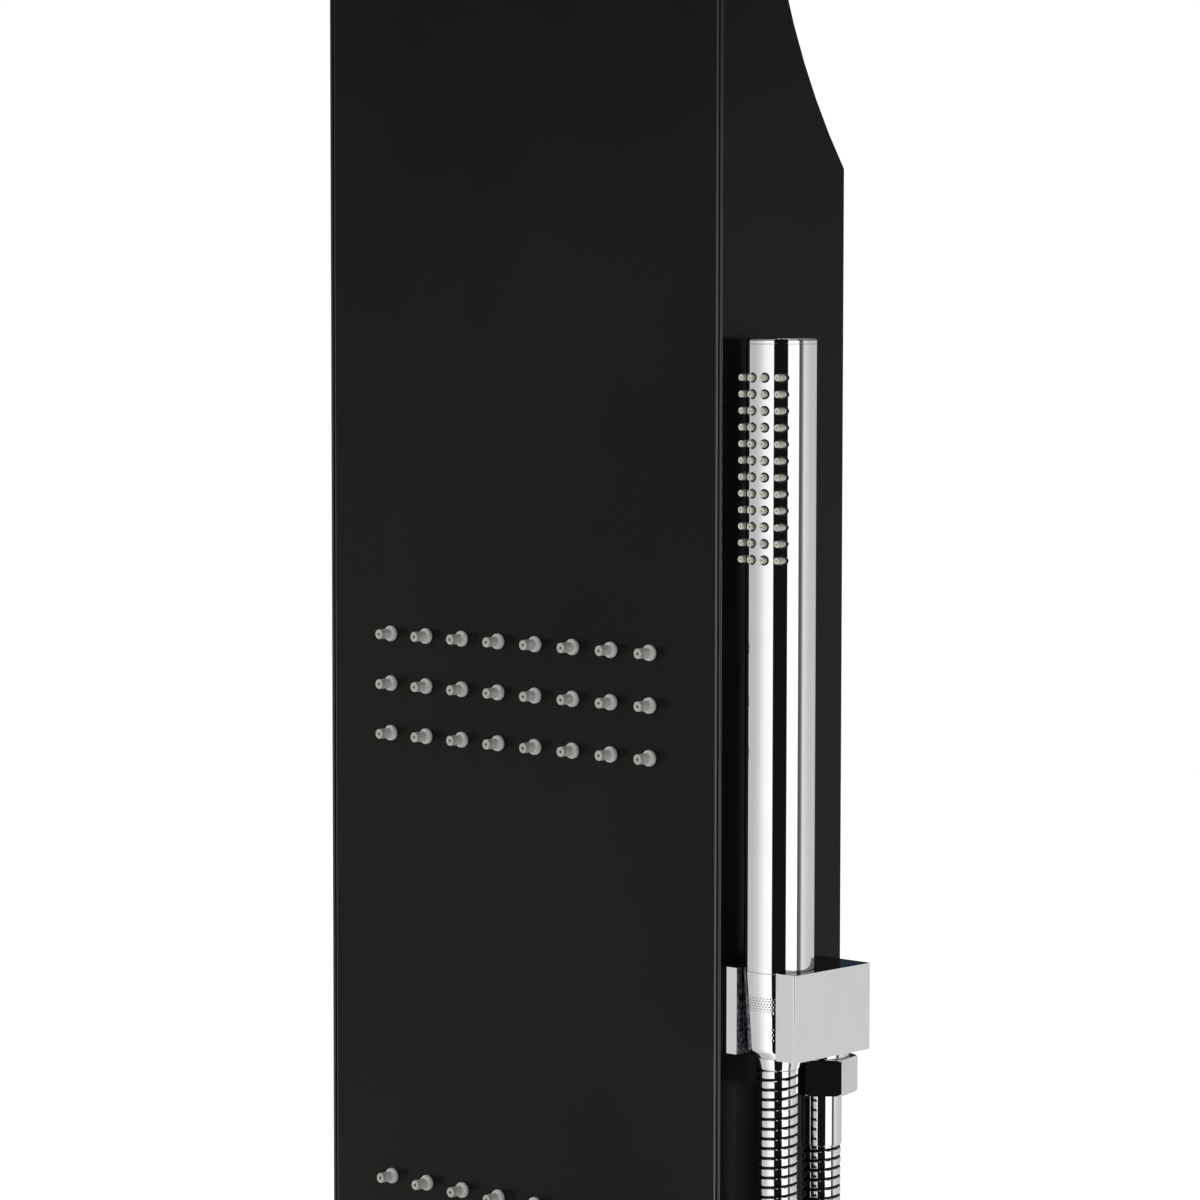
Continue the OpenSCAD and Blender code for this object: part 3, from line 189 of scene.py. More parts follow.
def plastic(name, a, b, rough):
    m, n, l, s = material(name, a, rough)
    l.new(tint(n, l, noise(n, l, 30.0, 4.0), a, b), s.inputs["Base Color"])
    l.new(spread(n, l, noise(n, l, 400.0, 3.0), rough - 0.08, rough + 0.08), s.inputs["Roughness"])
    bump(n, l, s, noise(n, l, 1500.0, 2.0), 0.15, 0.0002)
    return m


def cast_wall():
    """Plated over a rough casting: the mottled walls of the block's slot."""
    m, n, l, s = material("inner_cast_chrome", (0.2, 0.2, 0.21), 0.3, 1.0)
    pits = noise(n, l, 650.0, 4.0)
    l.new(tint(n, l, pits, (0.03, 0.031, 0.036), (0.42, 0.44, 0.48), 0.36, 0.66),
          s.inputs["Base Color"])
    l.new(spread(n, l, noise(n, l, 300.0, 3.0), 0.2, 0.5), s.inputs["Roughness"])
    bump(n, l, s, pits, 0.8, 0.0004)
    return m


# Painted shade: near-black for the small holes in the spray tips' ends and the rings round the
# tips.
def painted_hole_shade():
    m, n, l, s = material("painted_hole_shade", (0.01, 0.01, 0.01), 0.8)
    l.new(tint(n, l, noise(n, l, 800.0), (0.006, 0.006, 0.006), (0.02, 0.02, 0.018)),
          s.inputs["Base Color"])
    return m


CHROME = chrome("chrome")
CAST_CHROME = chrome("cast_chrome", 0.04, waves=0.015)
INNER_CAST = cast_wall()
# Painted shade: dark, rougher chrome for the floors of the cone nut's upper dimples.
DIMPLE_SHADE = chrome("dimple_floor_painted_shade", 0.2, (0.3, 0.3, 0.3))
HOSE_CHROME = chrome("hose_chrome", 0.05, (0.84, 0.84, 0.85), waves=0.03)
# Painted shade: near-black chrome for the hose's grooves.
GROOVE_SHADE = chrome("hose_groove_painted_shade", 0.35, (0.02, 0.02, 0.022))
SILICONE = silicone("silicone", (0.36, 0.375, 0.36), (0.47, 0.48, 0.455), 0.4)
TIP_SILICONE = silicone("tip_silicone", (0.36, 0.36, 0.315), (0.47, 0.465, 0.41), 0.2)
# Painted shade: darker silicone for the nozzles' ends, which the key light falls on full, and
# near-black silicone for their bores.
NOZZLE_END_SHADE = silicone("nozzle_end_painted_shade", (0.28, 0.275, 0.25), (0.35, 0.34, 0.31), 0.3)
NOZZLE_BORE_SHADE = silicone("nozzle_bore_painted_shade", (0.13, 0.13, 0.12), (0.19, 0.185, 0.17), 0.1)
PAINTED_TIP_SHADE = painted_hole_shade()
FRONT_COAT = black_coat("satin_black_front", 0.14, tone=(1.0, 0.965, 0.87))
FRONT_EDGE = black_coat("glossy_front_edge", 1.0, 0.1)
SIDE_EDGE = black_coat("glossy_side_edge", 1.0, 0.1)
FINISH = {
    "black_panel": black_coat("satin_black_coat", 0.165),
    "steel": zinc(),
    "silicone": SILICONE,
    "grey_plastic": plastic("grey_plastic", (0.035, 0.035, 0.038), (0.06, 0.06, 0.064), 0.5),
    "washer_rubber": plastic("washer_rubber", (0.012, 0.012, 0.012), (0.03, 0.03, 0.03), 0.7),
    "brass": brass(),
    "chrome": CHROME,
    "hose_steel": HOSE_CHROME,
}


# Mesh helpers.
def add(name, mesh, finish, body, *nodes, slot=None):
    """Puts a new piece in the scene: its finish, the body it rides on, the nodes it replaces."""
    obj = bpy.data.objects.new(name, mesh)
    bpy.context.scene.collection.objects.link(obj)
    if mesh.materials:
        mesh.materials.clear()
    for m in finish if isinstance(finish, (list, tuple)) else [finish]:
        mesh.materials.append(m)
    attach(obj, body)
    if nodes:
        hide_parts(*nodes)
    return obj


def smooth(mesh, angle):
    """Smooth shading, but for edges sharper than the angle."""
    for p in mesh.polygons:
        p.use_smooth = True
    mesh.set_sharp_from_angle(angle=radians(angle))


LONG_RUN, NEAR_END = 1.2, 0.12


def held(profile, closed):
    """The outline with a point close to both ends of every long run, so that it shades straight."""
    out = []
    for i, p in enumerate(profile):
        out.append(p)
        if i + 1 == len(profile) and not closed:
            break
        a, c = Vector(p), Vector(profile[(i + 1) % len(profile)])
        if (c - a).length > LONG_RUN:
            step = (c - a).normalized() * NEAR_END
            out += [tuple(a + step), tuple(c - step)]
    return out


def lathe(profile, segments=96, closed=False):
    """Points [(r, z)] turned round Z, as a bmesh in millimetres. closed joins last to first."""
    b = bmesh.new()
    rings = []
    for r, z in held(profile, closed):
        if r < 1e-6:
            rings.append([b.verts.new((0, 0, z))])
        else:
            rings.append([b.verts.new((r * cos(2 * pi * k / segments),
                                       r * sin(2 * pi * k / segments), z))
                          for k in range(segments)])
    pairs = list(zip(rings, rings[1:])) + ([(rings[-1], rings[0])] if closed else [])
    for lo, hi in pairs:
        for k in range(segments):
            j = (k + 1) % segments
            if len(lo) == 1 and len(hi) == 1:
                continue
            if len(lo) == 1:
                b.faces.new((lo[0], hi[j], hi[k]))
            elif len(hi) == 1:
                b.faces.new((lo[k], lo[j], hi[0]))
            else:
                b.faces.new((lo[k], lo[j], hi[j], hi[k]))
    return b


def bevel_profile(points, r, steps=3):
    """Rounds the corners of an (r, z) outline by r, in so many steps each."""
    out = []
    n = len(points)
    for i in range(n):
        p = Vector(points[i])
        if i in (0, n - 1) or p.x < 1e-6:
            out.append(tuple(p))
            continue
        a, c = Vector(points[i - 1]) - p, Vector(points[i + 1]) - p
        cut = min(r, a.length * 0.45, c.length * 0.45)
        if a.normalized().dot(c.normalized()) < -0.99:
            out.append(tuple(p))
            continue
        s, e = p + a.normalized() * cut, p + c.normalized() * cut
        for k in range(steps + 1):
            t = k / steps
            out.append(tuple((1 - t) ** 2 * s + 2 * t * (1 - t) * p + t * t * e))
    return out


def to_mesh(b, name, matrix, angle=30):
    """The bmesh, in millimetres, placed by the matrix, as a mesh in metres."""
    bmesh.ops.recalc_face_normals(b, faces=b.faces)
    b.transform(matrix @ Matrix.Scale(MM, 4))
    mesh = bpy.data.meshes.new(name)
    b.to_mesh(mesh)
    b.free()
    smooth(mesh, angle)
    return mesh


def at(x, y, h):
    """Local z up."""
    return Matrix.Translation(spot(x, y, h))


def at_front(x, h):
    """Local z out of the front face, local y up."""
    return Matrix.Translation(spot(x, -PANEL_D, h)) @ Matrix.Rotation(radians(90), 4, "X")


# How near points are welded, in metres, and how flat faces are joined, in degrees.
WELD, FLAT_ANGLE = 2e-6, 0.6


def cad_copy(node):
    """The CAD node's mesh, welded and without its flat triangles, as a mesh and a bmesh of it."""
    mesh = frame["nodes"][node].data.copy()
    mesh.transform(frame["nodes"][node].matrix_world)
    b = bmesh.new()
    b.from_mesh(mesh)
    bmesh.ops.remove_doubles(b, verts=b.verts, dist=WELD)
    bmesh.ops.dissolve_limit(b, angle_limit=radians(FLAT_ANGLE), verts=b.verts, edges=b.edges)
    b.normal_update()
    return mesh, b


def settle(node, mesh, b, finish):
    """The finished bmesh as the piece that replaces the node, with smooth faces."""
    b.to_mesh(mesh)
    b.free()
    if mesh.has_custom_normals:
        mesh.normals_split_custom_set([(0, 0, 0)] * len(mesh.loops))
    materials = [p.material_index for p in mesh.polygons]
    obj = add(node + "_finished", mesh, finish, BODY_OF[node], node)
    for p, index in zip(mesh.polygons, materials):
        p.use_smooth = True
        p.material_index = index
    return obj


def even(obj, keep_sharp):
    """Keeps the flat faces of a rounded piece flat in shading."""
    flat = obj.modifiers.new("flats", "WEIGHTED_NORMAL")
    flat.keep_sharp = keep_sharp
    flat.weight = 80


def faces_out(normal):
    """True for a face of a sheet that looks to the front or down."""
    return normal.y + normal.z < -0.5


SHARP_ANGLE = 35


def softened(node, width, segments, finish=None, edge=None):
    """A copy of a CAD node with its sharp edges rounded by width, which replaces the node.

    With edge only a sheet's long front edges are rounded, and they get that material.
    """
    mesh, b = cad_copy(node)
    if edge:
        weight = b.edges.layers.float.new("bevel_weight_edge")
        for e in b.edges:
            sides = [f.normal for f in e.link_faces]
            if any(abs(v.x) > 0.9 for v in sides) and any(faces_out(v) for v in sides):
                e[weight] = 1.0
    finish = finish or FINISH[SLOT_OF[node]]
    obj = settle(node, mesh, b, [finish, edge] if edge else finish)
    mod = obj.modifiers.new("round", "BEVEL")
    mod.width, mod.segments = width * MM, segments
    mod.limit_method, mod.angle_limit = "WEIGHT" if edge else "ANGLE", radians(SHARP_ANGLE)
    mod.miter_outer = "MITER_ARC"
    mod.use_clamp_overlap = not edge
    mod.material = 1 if edge else -1
    if edge:
        mesh.set_sharp_from_angle(angle=radians(SHARP_ANGLE))
    even(obj, bool(edge))
    return obj


# Where the roll is cut into strips, closest at its outer edge, and the part with the edge material.
ROLL_SHARES = (0.012, 0.05, 0.11, 0.2, 0.31, 0.45, 0.62, 0.8, 1.0)
EDGE_SHARE = 0.7


def rolled(node, wide, deep, finish, edge):
    """A copy of a CAD sheet whose two long front edges are rolled back, which replaces the node.

    The roll is a quarter of an ellipse, wide across and deep into the sheet, and its outer part
    gets the edge material.
    """
    mesh, b = cad_copy(node)
    end, wide, deep = max(v.co.x for v in b.verts), wide * MM, deep * MM
    for side in (-1, 1):
        for share in ROLL_SHARES:
            bmesh.ops.bisect_plane(b, geom=b.verts[:] + b.edges[:] + b.faces[:], dist=1e-7,
                                   plane_co=(side * (end - share * wide), 0, 0),
                                   plane_no=(1, 0, 0))
    b.normal_update()
    moves = []
    for v in b.verts:
        share = (end - abs(v.co.x)) / wide
        out = [f.normal for f in v.link_faces if abs(f.normal.x) < 0.5 and faces_out(f.normal)]
        if share > 0.999 or not out:
            continue
        column = v.co.y > -(PANEL_D + 1) * MM
        main = min(out, key=lambda n: n.y if column else n.z)
        inward = -sum((n for n in out if n.dot(main) > 0.9), Vector()).normalized()
        moves.append((v, inward * deep * (1 - sqrt(1 - (1 - share) ** 2))))
    for f in b.faces:
        share = (end - abs(f.calc_center_median().x)) / wide
        if share < EDGE_SHARE and abs(f.normal.x) < 0.5 and faces_out(f.normal):
            f.material_index = 1
    for v, step in moves:
        v.co += step
    obj = settle(node, mesh, b, [finish, edge])
    mesh.set_sharp_from_angle(angle=radians(SHARP_ANGLE))
    even(obj, True)
    return obj


# Hose: its middle line, from the outlet down, round the loop and up to the hand shower.
ROUTE = [
    [116.5, -30, -286.4], [116.5, -30, -301], [116.5, -30, -360], [116.5, -30, -430],
    [116.5, -30, -500], [116, -30, -570], [115, -30, -640], [114, -30, -710],
    [113, -30, -780], [113, -30, -845], [114, -30, -903], [123, -30, -940],
    [147, -30, -967], [179, -31, -976], [211, -32, -966], [235, -33, -940],
    [244, -35, -905], [241, -37, -850], [231, -39, -790], [216, -41, -730],
    [199, -43, -670], [181, -46, -610], [163, -49, -550], [147, -52, -490],
    [133, -54, -430], [122.5, -54, -370], [117, -54, -315], [116.5, -54, -270.4],
    [116.5, -54, -256],
]
HOSE_R, RIB_PITCH, RIB_DEPTH, RIB_BEVEL = 7.0, 3.5, 0.7, 0.25
# The rib's outline along one pitch: (share of the pitch, how far it is in from the crest).
RIB = [(0.0, RIB_DEPTH), (0.12, RIB_DEPTH), (0.135, RIB_BEVEL), (0.21, 0.0),
       (0.85, 0.0), (0.925, RIB_BEVEL), (0.94, RIB_DEPTH)]
# The steps of that outline that lie in the groove and get near-black chrome, painted shade.
GROOVE_STEPS = (0, 1, 5, 6)


def curve_points(route, steps=24):
    """The route as part.scad runs it: a curve through every point."""
    pts = [Vector(p) for p in route]
    out = []
    for i in range(len(pts) - 1):
        p, a, b = pts[max(i - 1, 0)], pts[i], pts[i + 1]
        q = pts[min(i + 2, len(pts) - 1)]
        for k in range(steps):
            t = k / steps
            out.append(0.5 * (2 * a + (b - p) * t + (2 * p - 5 * a + 4 * b - q) * t * t
                              + (3 * a - p - 3 * b + q) * t ** 3))
    out.append(pts[-1])
    return out


def runs(points):
    total, out = 0.0, [0.0]
    for a, b in zip(points, points[1:]):
        total += (b - a).length
        out.append(total)
    return out


class Line:
    """A curve that can be read at any distance along it, with a steady side direction."""

    def __init__(self, points):
        self.p, self.s = points, runs(points)
        self.length = self.s[-1]

    def at(self, s):
        s = min(max(s, 0.0), self.length)
        lo, hi = 0, len(self.s) - 1
        while hi - lo > 1:
            mid = (lo + hi) // 2
            if self.s[mid] <= s:
                lo = mid
            else:
                hi = mid
        t = (s - self.s[lo]) / max(self.s[hi] - self.s[lo], 1e-9)
        return self.p[lo].lerp(self.p[hi], t)

    def frame(self, s):
        ahead = (self.at(s + 2) - self.at(s - 2)).normalized()
        side = Vector((0, 1, 0))
        side = (side - ahead * side.dot(ahead)).normalized()
        return self.at(s), side, ahead.cross(side)


def ribbed(line, start, end, crest, segments, name):
    """A wound strip hose from start to end: one rib a turn, so the ribs lean like a thread."""
    b = bmesh.new()
    turns = int(ceil((end - start) / RIB_PITCH)) + 2
    rings = []
    for i in range(-1, turns):
        for share, depth in RIB:
            r = crest - depth
            ring = []
            for k in range(segments):
                s = start + (i + share + k / segments) * RIB_PITCH
                s = min(max(s, start), end)
                mid, side, other = line.frame(s)
                a = 2 * pi * k / segments
                ring.append(b.verts.new(mid + r * (cos(a) * side + sin(a) * other)))
            rings.append(ring)
    for i in range(len(rings) - len(RIB)):
        here, above, far = rings[i], rings[i + 1], rings[i + len(RIB)]
        made = [b.faces.new((here[k], here[k + 1], above[k + 1], above[k]))
                for k in range(segments - 1)]
        # The seam, where one turn goes over into the next.
        made.append(b.faces.new((here[-1], far[0], rings[i + len(RIB) + 1][0], above[-1])
                                if i + len(RIB) + 1 < len(rings)
                                else (here[-1], far[0], above[-1])))
        # Painted shade: the groove's faces get the near-black chrome.
        if i % len(RIB) in GROOVE_STEPS:
            for f in made:
                f.material_index = 1
    bmesh.ops.remove_doubles(b, verts=b.verts, dist=1e-3)
    bmesh.ops.transform(b, matrix=Matrix.Scale(MM, 4), verts=b.verts)
    mesh = bpy.data.meshes.new(name)
    b.to_mesh(mesh)
    b.free()
    smooth(mesh, 38)
    return mesh


hose_line = Line(curve_points(ROUTE))
# The hose is two pieces. The upper one rides up with the hand shower and slides over the lower
# one, which is thinner by RUN_IN and ends inside it. It starts a whole number of ribs along, so
# that the ribs of both meet.
SLEEVE_LEN, HIDDEN, RUN_IN, PATH_STEPS = 78.0, 28.0, 0.12, 300
run_len = hose_line.length - HIDDEN
sleeve_start = int((hose_line.length - SLEEVE_LEN) / RIB_PITCH) * RIB_PITCH
hose = add("hose_run", ribbed(hose_line, 0.0, run_len, HOSE_R - RUN_IN, 28, "hose_run"),
           [HOSE_CHROME, GROOVE_SHADE], "panel", "hose")
sleeve = add("hose_top",
             ribbed(hose_line, sleeve_start, hose_line.length, HOSE_R, 48, "hose_top"),
             [HOSE_CHROME, GROOVE_SHADE], "hose_end", slot="hose_steel")


# Body jets and rain field.
PITCH, COLUMNS, JET_ROWS, RAIN_ROWS = 19.0, 8, 3, 12
# The height of each group's top row, and the middle of the rain field.
UPPER_JETS_H, LOWER_JETS_H = 850.0, 641.0
RAIN_Y, RAIN_H = -319.0, 1277.8
FLANGE_R, TIP_R, HOLE_R = 2.95, 1.9, 0.55
# Above these heights a nozzle's end gets darker silicone, painted shade that tones down the end the
# key light falls on, and inside HOLE_R its water hole gets near-black silicone, painted shade.
TIP_FROM, HOLE_FROM = 4.6, 5.0
# The sheet behind the nozzles: how much it is longer than their grid, its thickness, its middle.
MAT_EXTRA, MAT_T, MAT_Z = 18.0, 1.9, -2.55
NOZZLE = bevel_profile([
    (0.0, 5.2), (0.4, 5.3), (0.5, 6.9), (0.95, 7.1), (TIP_R, 7.0), (TIP_R - 0.02, 5.6),
    (TIP_R - 0.05, 2.3), (TIP_R + 0.25, 1.85), (2.55, 1.7), (FLANGE_R, 1.2), (FLANGE_R, 0.0),
    (2.4, 0.0), (2.4, -2.6),
], 0.35, 3)


def nozzle_mat(name, rows, matrix, node):
    """A sheet with its grid of nozzles, in place of the CAD's mat."""
    half_x, half_y = (COLUMNS - 1) / 2, (rows - 1) / 2
    b = bmesh.new()
    part = lathe(NOZZLE, 40)
    shape = bpy.data.meshes.new("nozzle")
    part.to_mesh(shape)
    part.free()
    for i in range(COLUMNS):
        for j in range(rows):
            before = set(b.verts)
            b.from_mesh(shape)
            bmesh.ops.translate(b, verts=[v for v in b.verts if v not in before],
                                vec=((i - half_x) * PITCH, (j - half_y) * PITCH, 0))
    wide, tall = (COLUMNS - 1) * PITCH + MAT_EXTRA, (rows - 1) * PITCH + MAT_EXTRA
    bmesh.ops.create_cube(b, size=1.0, matrix=Matrix.Translation((0, 0, MAT_Z))
                          @ Matrix.Diagonal((wide, tall, MAT_T, 1)))
    # Painted shade: the bore's faces and the nozzle's end get the darker silicones.
    for f in b.faces:
        c = f.calc_center_median()
        x, y = c.x / PITCH + half_x, c.y / PITCH + half_y
        d = hypot(x - round(x), y - round(y)) * PITCH
        if c.z > HOLE_FROM and d < HOLE_R:
            f.material_index = 1
        elif c.z > TIP_FROM:
            f.material_index = 2
    mesh = to_mesh(b, name, matrix, 50)
    bpy.data.meshes.remove(shape)
    return add(name, mesh, [SILICONE, NOZZLE_BORE_SHADE, NOZZLE_END_SHADE], BODY_OF[node], node)


nozzle_mat("jets_upper", JET_ROWS, at_front(0, UPPER_JETS_H - PITCH), "jet_nozzles_upper")
nozzle_mat("jets_lower", JET_ROWS, at_front(0, LOWER_JETS_H - PITCH), "jet_nozzles_lower")
nozzle_mat("rain_field", RAIN_ROWS, at(0, RAIN_Y, RAIN_H) @ Matrix.Rotation(pi, 4, "X"),
           "rain_nozzles")

# Shell.
for node in ("side_plate_left", "side_plate_right"):
    softened(node, 0.55, 4, edge=SIDE_EDGE)
for node in ("top_cover", "bottom_plate"):
    softened(node, 0.3, 3)
rolled("front_plate", 2.0, 1.0, FRONT_COAT, FRONT_EDGE)

# Hand shower: its axis, lower end, outer radius, length and bore.
STICK_X, STICK_Y = 116.5, -54.0
STICK_LOW, STICK_R, STICK_LEN = 739.6, 12.5, 223.2
STICK_BORE, CAP_T, PLUG_LEN = 11.0, 2.0, 9.9


def turned(name, profile, place, node, rounding, steps=3, closed=True):
    """A chrome lathe piece at a place, with rounded corners, that replaces the node."""
    pts = bevel_profile(profile + profile[:2], rounding, steps)[1:-1] if closed \
        else bevel_profile(profile, rounding, steps)
    return add(name, to_mesh(lathe(pts, 128, closed), name, place, 40),
               CHROME, BODY_OF[node], node)


stick_place = at(STICK_X, STICK_Y, STICK_LOW)
turned("stick_tube", [(STICK_BORE, 0.0), (STICK_R, 0.0), (STICK_R, STICK_LEN - CAP_T - 0.05),
                      (STICK_BORE, STICK_LEN - CAP_T - 0.05)],
       stick_place, "handset_body", 0.05)
turned("stick_cap", [(0.0, STICK_LEN - PLUG_LEN), (STICK_BORE - 0.15, STICK_LEN - PLUG_LEN),
                     (STICK_BORE - 0.15, STICK_LEN - CAP_T), (STICK_R, STICK_LEN - CAP_T),
                     (STICK_R, STICK_LEN - 0.9), (STICK_R - 0.12, STICK_LEN - 0.45),
                     (STICK_R - 0.45, STICK_LEN - 0.12), (STICK_R - 0.9, STICK_LEN),
                     (0.0, STICK_LEN)],
       stick_place, "handset_cap", 0.05, closed=False)

# Spray tips: four parallel columns that end on a flat curve, each in a narrow ring of painted
# shade, a dark sheet just over the tube where the gap round the tip would be shaded, with painted
# shade in the small hole of its end.
TIP_COLUMNS, TIP_ROWS, TIP_PITCH, TIP_DOWN, TIP_ACROSS = 4, 12, 5.8, 13.8, 5.5
TIP_OUT, TIP_SHADE_RING, TIP_HOLE, TIP_SIDES = 1.2, 0.62, 0.24, 28
# How far the middle of that curve stands out of the tube, and its fall to the tube's sides.
TIP_STAND, TIP_FALL = 1.5, 4.0
spray = bmesh.new()
dark = set()
for col in range(TIP_COLUMNS):
    x = (col - (TIP_COLUMNS - 1) / 2) * TIP_ACROSS
    far = STICK_R + TIP_STAND - TIP_FALL * (x / STICK_R) ** 2
    near = sqrt(STICK_R ** 2 - x ** 2)
    tip = lathe(bevel_profile([
        (0.0, far - 0.7), (0.18, far - 0.6), (0.26, far - 0.05), (TIP_OUT, far),
        (TIP_OUT, near - 1.0), (TIP_OUT, near - 2.6)], 0.75, 6), TIP_SIDES)
    tip_mesh = bpy.data.meshes.new("tip")
    tip.to_mesh(tip_mesh)
    tip.free()
    for row in range(TIP_ROWS):
        z = STICK_LEN - TIP_DOWN - row * TIP_PITCH
        before = set(spray.verts)
        faces = set(spray.faces)
        spray.from_mesh(tip_mesh)
        for f in set(spray.faces) - faces:
            c = f.calc_center_median()
            # Painted shade in the small hole of the tip's end.
            if c.xy.length < TIP_HOLE and c.z > far - 0.9:
                dark.add(f)
        bmesh.ops.transform(spray, matrix=Matrix.Translation((x, 0, z))
                            @ Matrix.Rotation(radians(90), 4, "X"),
                            verts=[v for v in spray.verts if v not in before])
        rings = []
        # Painted shade: a thin dark ring laid just over the tube round the tip.
        for r in (TIP_OUT - 0.1, TIP_OUT + TIP_SHADE_RING):
            ring = []
            for k in range(TIP_SIDES):
                a = 2 * pi * k / TIP_SIDES
                px, pz = x + r * cos(a), z + r * sin(a)
                ring.append(spray.verts.new((px, -sqrt(STICK_R ** 2 - px ** 2) - 0.03, pz)))
            rings.append(ring)
        for k in range(TIP_SIDES):
            j = (k + 1) % TIP_SIDES
            dark.add(spray.faces.new((rings[0][k], rings[0][j], rings[1][j], rings[1][k])))
    bpy.data.meshes.remove(tip_mesh)
for f in dark:
    f.material_index = 1
add("spray_tips", to_mesh(spray, "spray_tips", stick_place, 50),
    [TIP_SILICONE, PAINTED_TIP_SHADE], "handset", "handset_nozzles")

# Cone nut, with two bands of small round dimples in staggered rows as grip, and the collar.
CONE_LEN, CONE_LOW_R, CONE_TOP_R = 31.0, 10.8, 12.7
DIMPLES, DIMPLE_STEP, DIMPLE_R, DIMPLE_FLOOR_R = 60, 0.95, 0.36, 0.27
# Each band's lowest row, number of rows and depth.
LOWER_BAND, UPPER_BAND = (7.2, 5, 0.03), (17.2, 6, 0.06)


def cone_radius(z):
    return CONE_LOW_R + (CONE_TOP_R - CONE_LOW_R) * z / CONE_LEN


def off_dimple(c, low, row):
    """How far a point on the nut lies from the nearest dimple of that row."""
    a = atan2(c.y, c.x) / (2 * pi) * DIMPLES + 0.5 * (row % 2)
    return hypot((a - round(a)) * 2 * pi * c.xy.length / DIMPLES, c.z - low - row * DIMPLE_STEP)


def dimple_grid(b):
    """Presses the dimples into the cone, with dark chrome on the upper band's dimple floors as
    painted shade.
    """
    for v in b.verts:
        r = v.co.xy.length
        if r < cone_radius(v.co.z) - 0.05:
            continue
        for low, rows, depth in (LOWER_BAND, UPPER_BAND):
            for row in range(rows):
                d = off_dimple(v.co, low, row)
                if d < DIMPLE_R:
                    v.co.xy *= 1 - depth * (1 - (d / DIMPLE_R) ** 2) / r
    # Painted shade: the upper band's dimple floors get the dark chrome.
    low, rows, depth = UPPER_BAND
    for f in b.faces:
        c = f.calc_center_median()
        row = round((c.z - low) / DIMPLE_STEP)
        if 0 <= row < rows and c.xy.length > 10 and off_dimple(c, low, row) < DIMPLE_FLOOR_R:
            f.material_index = 1


def nut_mesh():
    """The cone nut with fine rows where the dimples are."""
    pts = [(8.0, 0.0), (9.0, 0.0), (9.3, 0.15), (10.6, 2.1), (CONE_LOW_R, 2.45)]
    z = 2.8
    while z < CONE_LEN - 0.3:
        fine = 6.6 < z < 11.6 or 16.6 < z < 22.6
        pts.append((cone_radius(z), z))
        z += 0.15 if fine else 0.8
    pts += [(CONE_TOP_R - 0.02, CONE_LEN - 0.12), (12.6, CONE_LEN - 0.03),
            (12.5, CONE_LEN), (9.4, CONE_LEN), (9.4, CONE_LEN - 12), (8.0, CONE_LEN - 13)]
    b = lathe(pts, 480, True)
    dimple_grid(b)
    return b


add("cone_nut_finished", to_mesh(nut_mesh(), "cone_nut_finished",
                                 at(STICK_X, STICK_Y, STICK_LOW - CONE_LEN), 30),
    [CHROME, DIMPLE_SHADE], "handset", "cone_nut")
turned("collar", [(6.2, 0.0), (7.3, 0.0), (8.3, 4.4), (6.9, 4.4), (6.9, 17.0), (6.2, 17.0)],
       at(STICK_X, STICK_Y, 704.1), "hose_collar", 0.35)

# Block, with the walls of its slot left as cast, outlet, nut and ferrule.
BLOCK_CORNER, BLOCK_W, BLOCK_D, BLOCK_SKIN = Vector((100.0, -64.9, 0.0)), 33.0, 42.0, 0.6
block = softened("holder_block", 0.15, 3, finish=CAST_CHROME)
block.data.materials.append(INNER_CAST)
for face in block.data.polygons:
    c = face.center / MM - BLOCK_CORNER
    inside = BLOCK_SKIN < c.x < BLOCK_W - BLOCK_SKIN and BLOCK_SKIN < c.y < BLOCK_D - BLOCK_SKIN
    if inside and abs(face.normal.z) < 0.5:
        face.material_index = 1
OUT_X, OUT_Y = 116.5, -30.0
turned("outlet", [(4.0, -6.0), (9.3, -6.0), (9.3, 0.0), (10.0, 0.0), (10.0, 3.4), (5.9, 3.4),
                  (5.9, 11.0), (4.0, 11.0)],
       at(OUT_X, OUT_Y, 705.6), "outlet_nipple", 0.3)


def hex_nut(af, tall, bore, turn):
    """A hexagon with the round chamfer that a turned nut has on both ends."""
    b = bmesh.new()
    flat, corner = af / 2, af / 2 / cos(radians(30))
    heights = [0.0, 0.15, 0.35, 0.6, tall - 0.6, tall - 0.35, tall - 0.15, tall]
    seg = 144
    rings = []
    for z in heights:
        chamfer = flat + 0.9 + min(z, tall - z) * 1.5
        ring = []
        for k in range(seg):
            a = 2 * pi * k / seg
            d = ((a + pi / 6) % (pi / 3)) - pi / 6
            r = min(flat / cos(d), corner - 0.05, chamfer)
            ring.append(b.verts.new((r * cos(a), r * sin(a), z)))
        rings.append(ring)
    inner = [[b.verts.new((bore * cos(2 * pi * k / seg), bore * sin(2 * pi * k / seg), z))
              for k in range(seg)] for z in (tall, 0.0)]
    loop = rings + inner
    for lo, hi in zip(loop, loop[1:] + loop[:1]):
        for k in range(seg):
            j = (k + 1) % seg
            b.faces.new((lo[k], lo[j], hi[j], hi[k]))
    b.transform(Matrix.Rotation(radians(turn), 4, "Z"))
    return b


add("outlet_nut",
    to_mesh(hex_nut(22.4, 13.0, 7.2, -47), "outlet_nut", at(OUT_X, OUT_Y, 692.6), 22),
    CHROME, "panel", "hose_nut")
turned("ferrule", [(4.0, 0.0), (7.2, 0.0), (7.2, 18.9), (6.6, 18.9), (6.6, 22.5), (4.0, 22.5)],
       at(OUT_X, OUT_Y, 673.7), "hose_ferrule", 0.3)

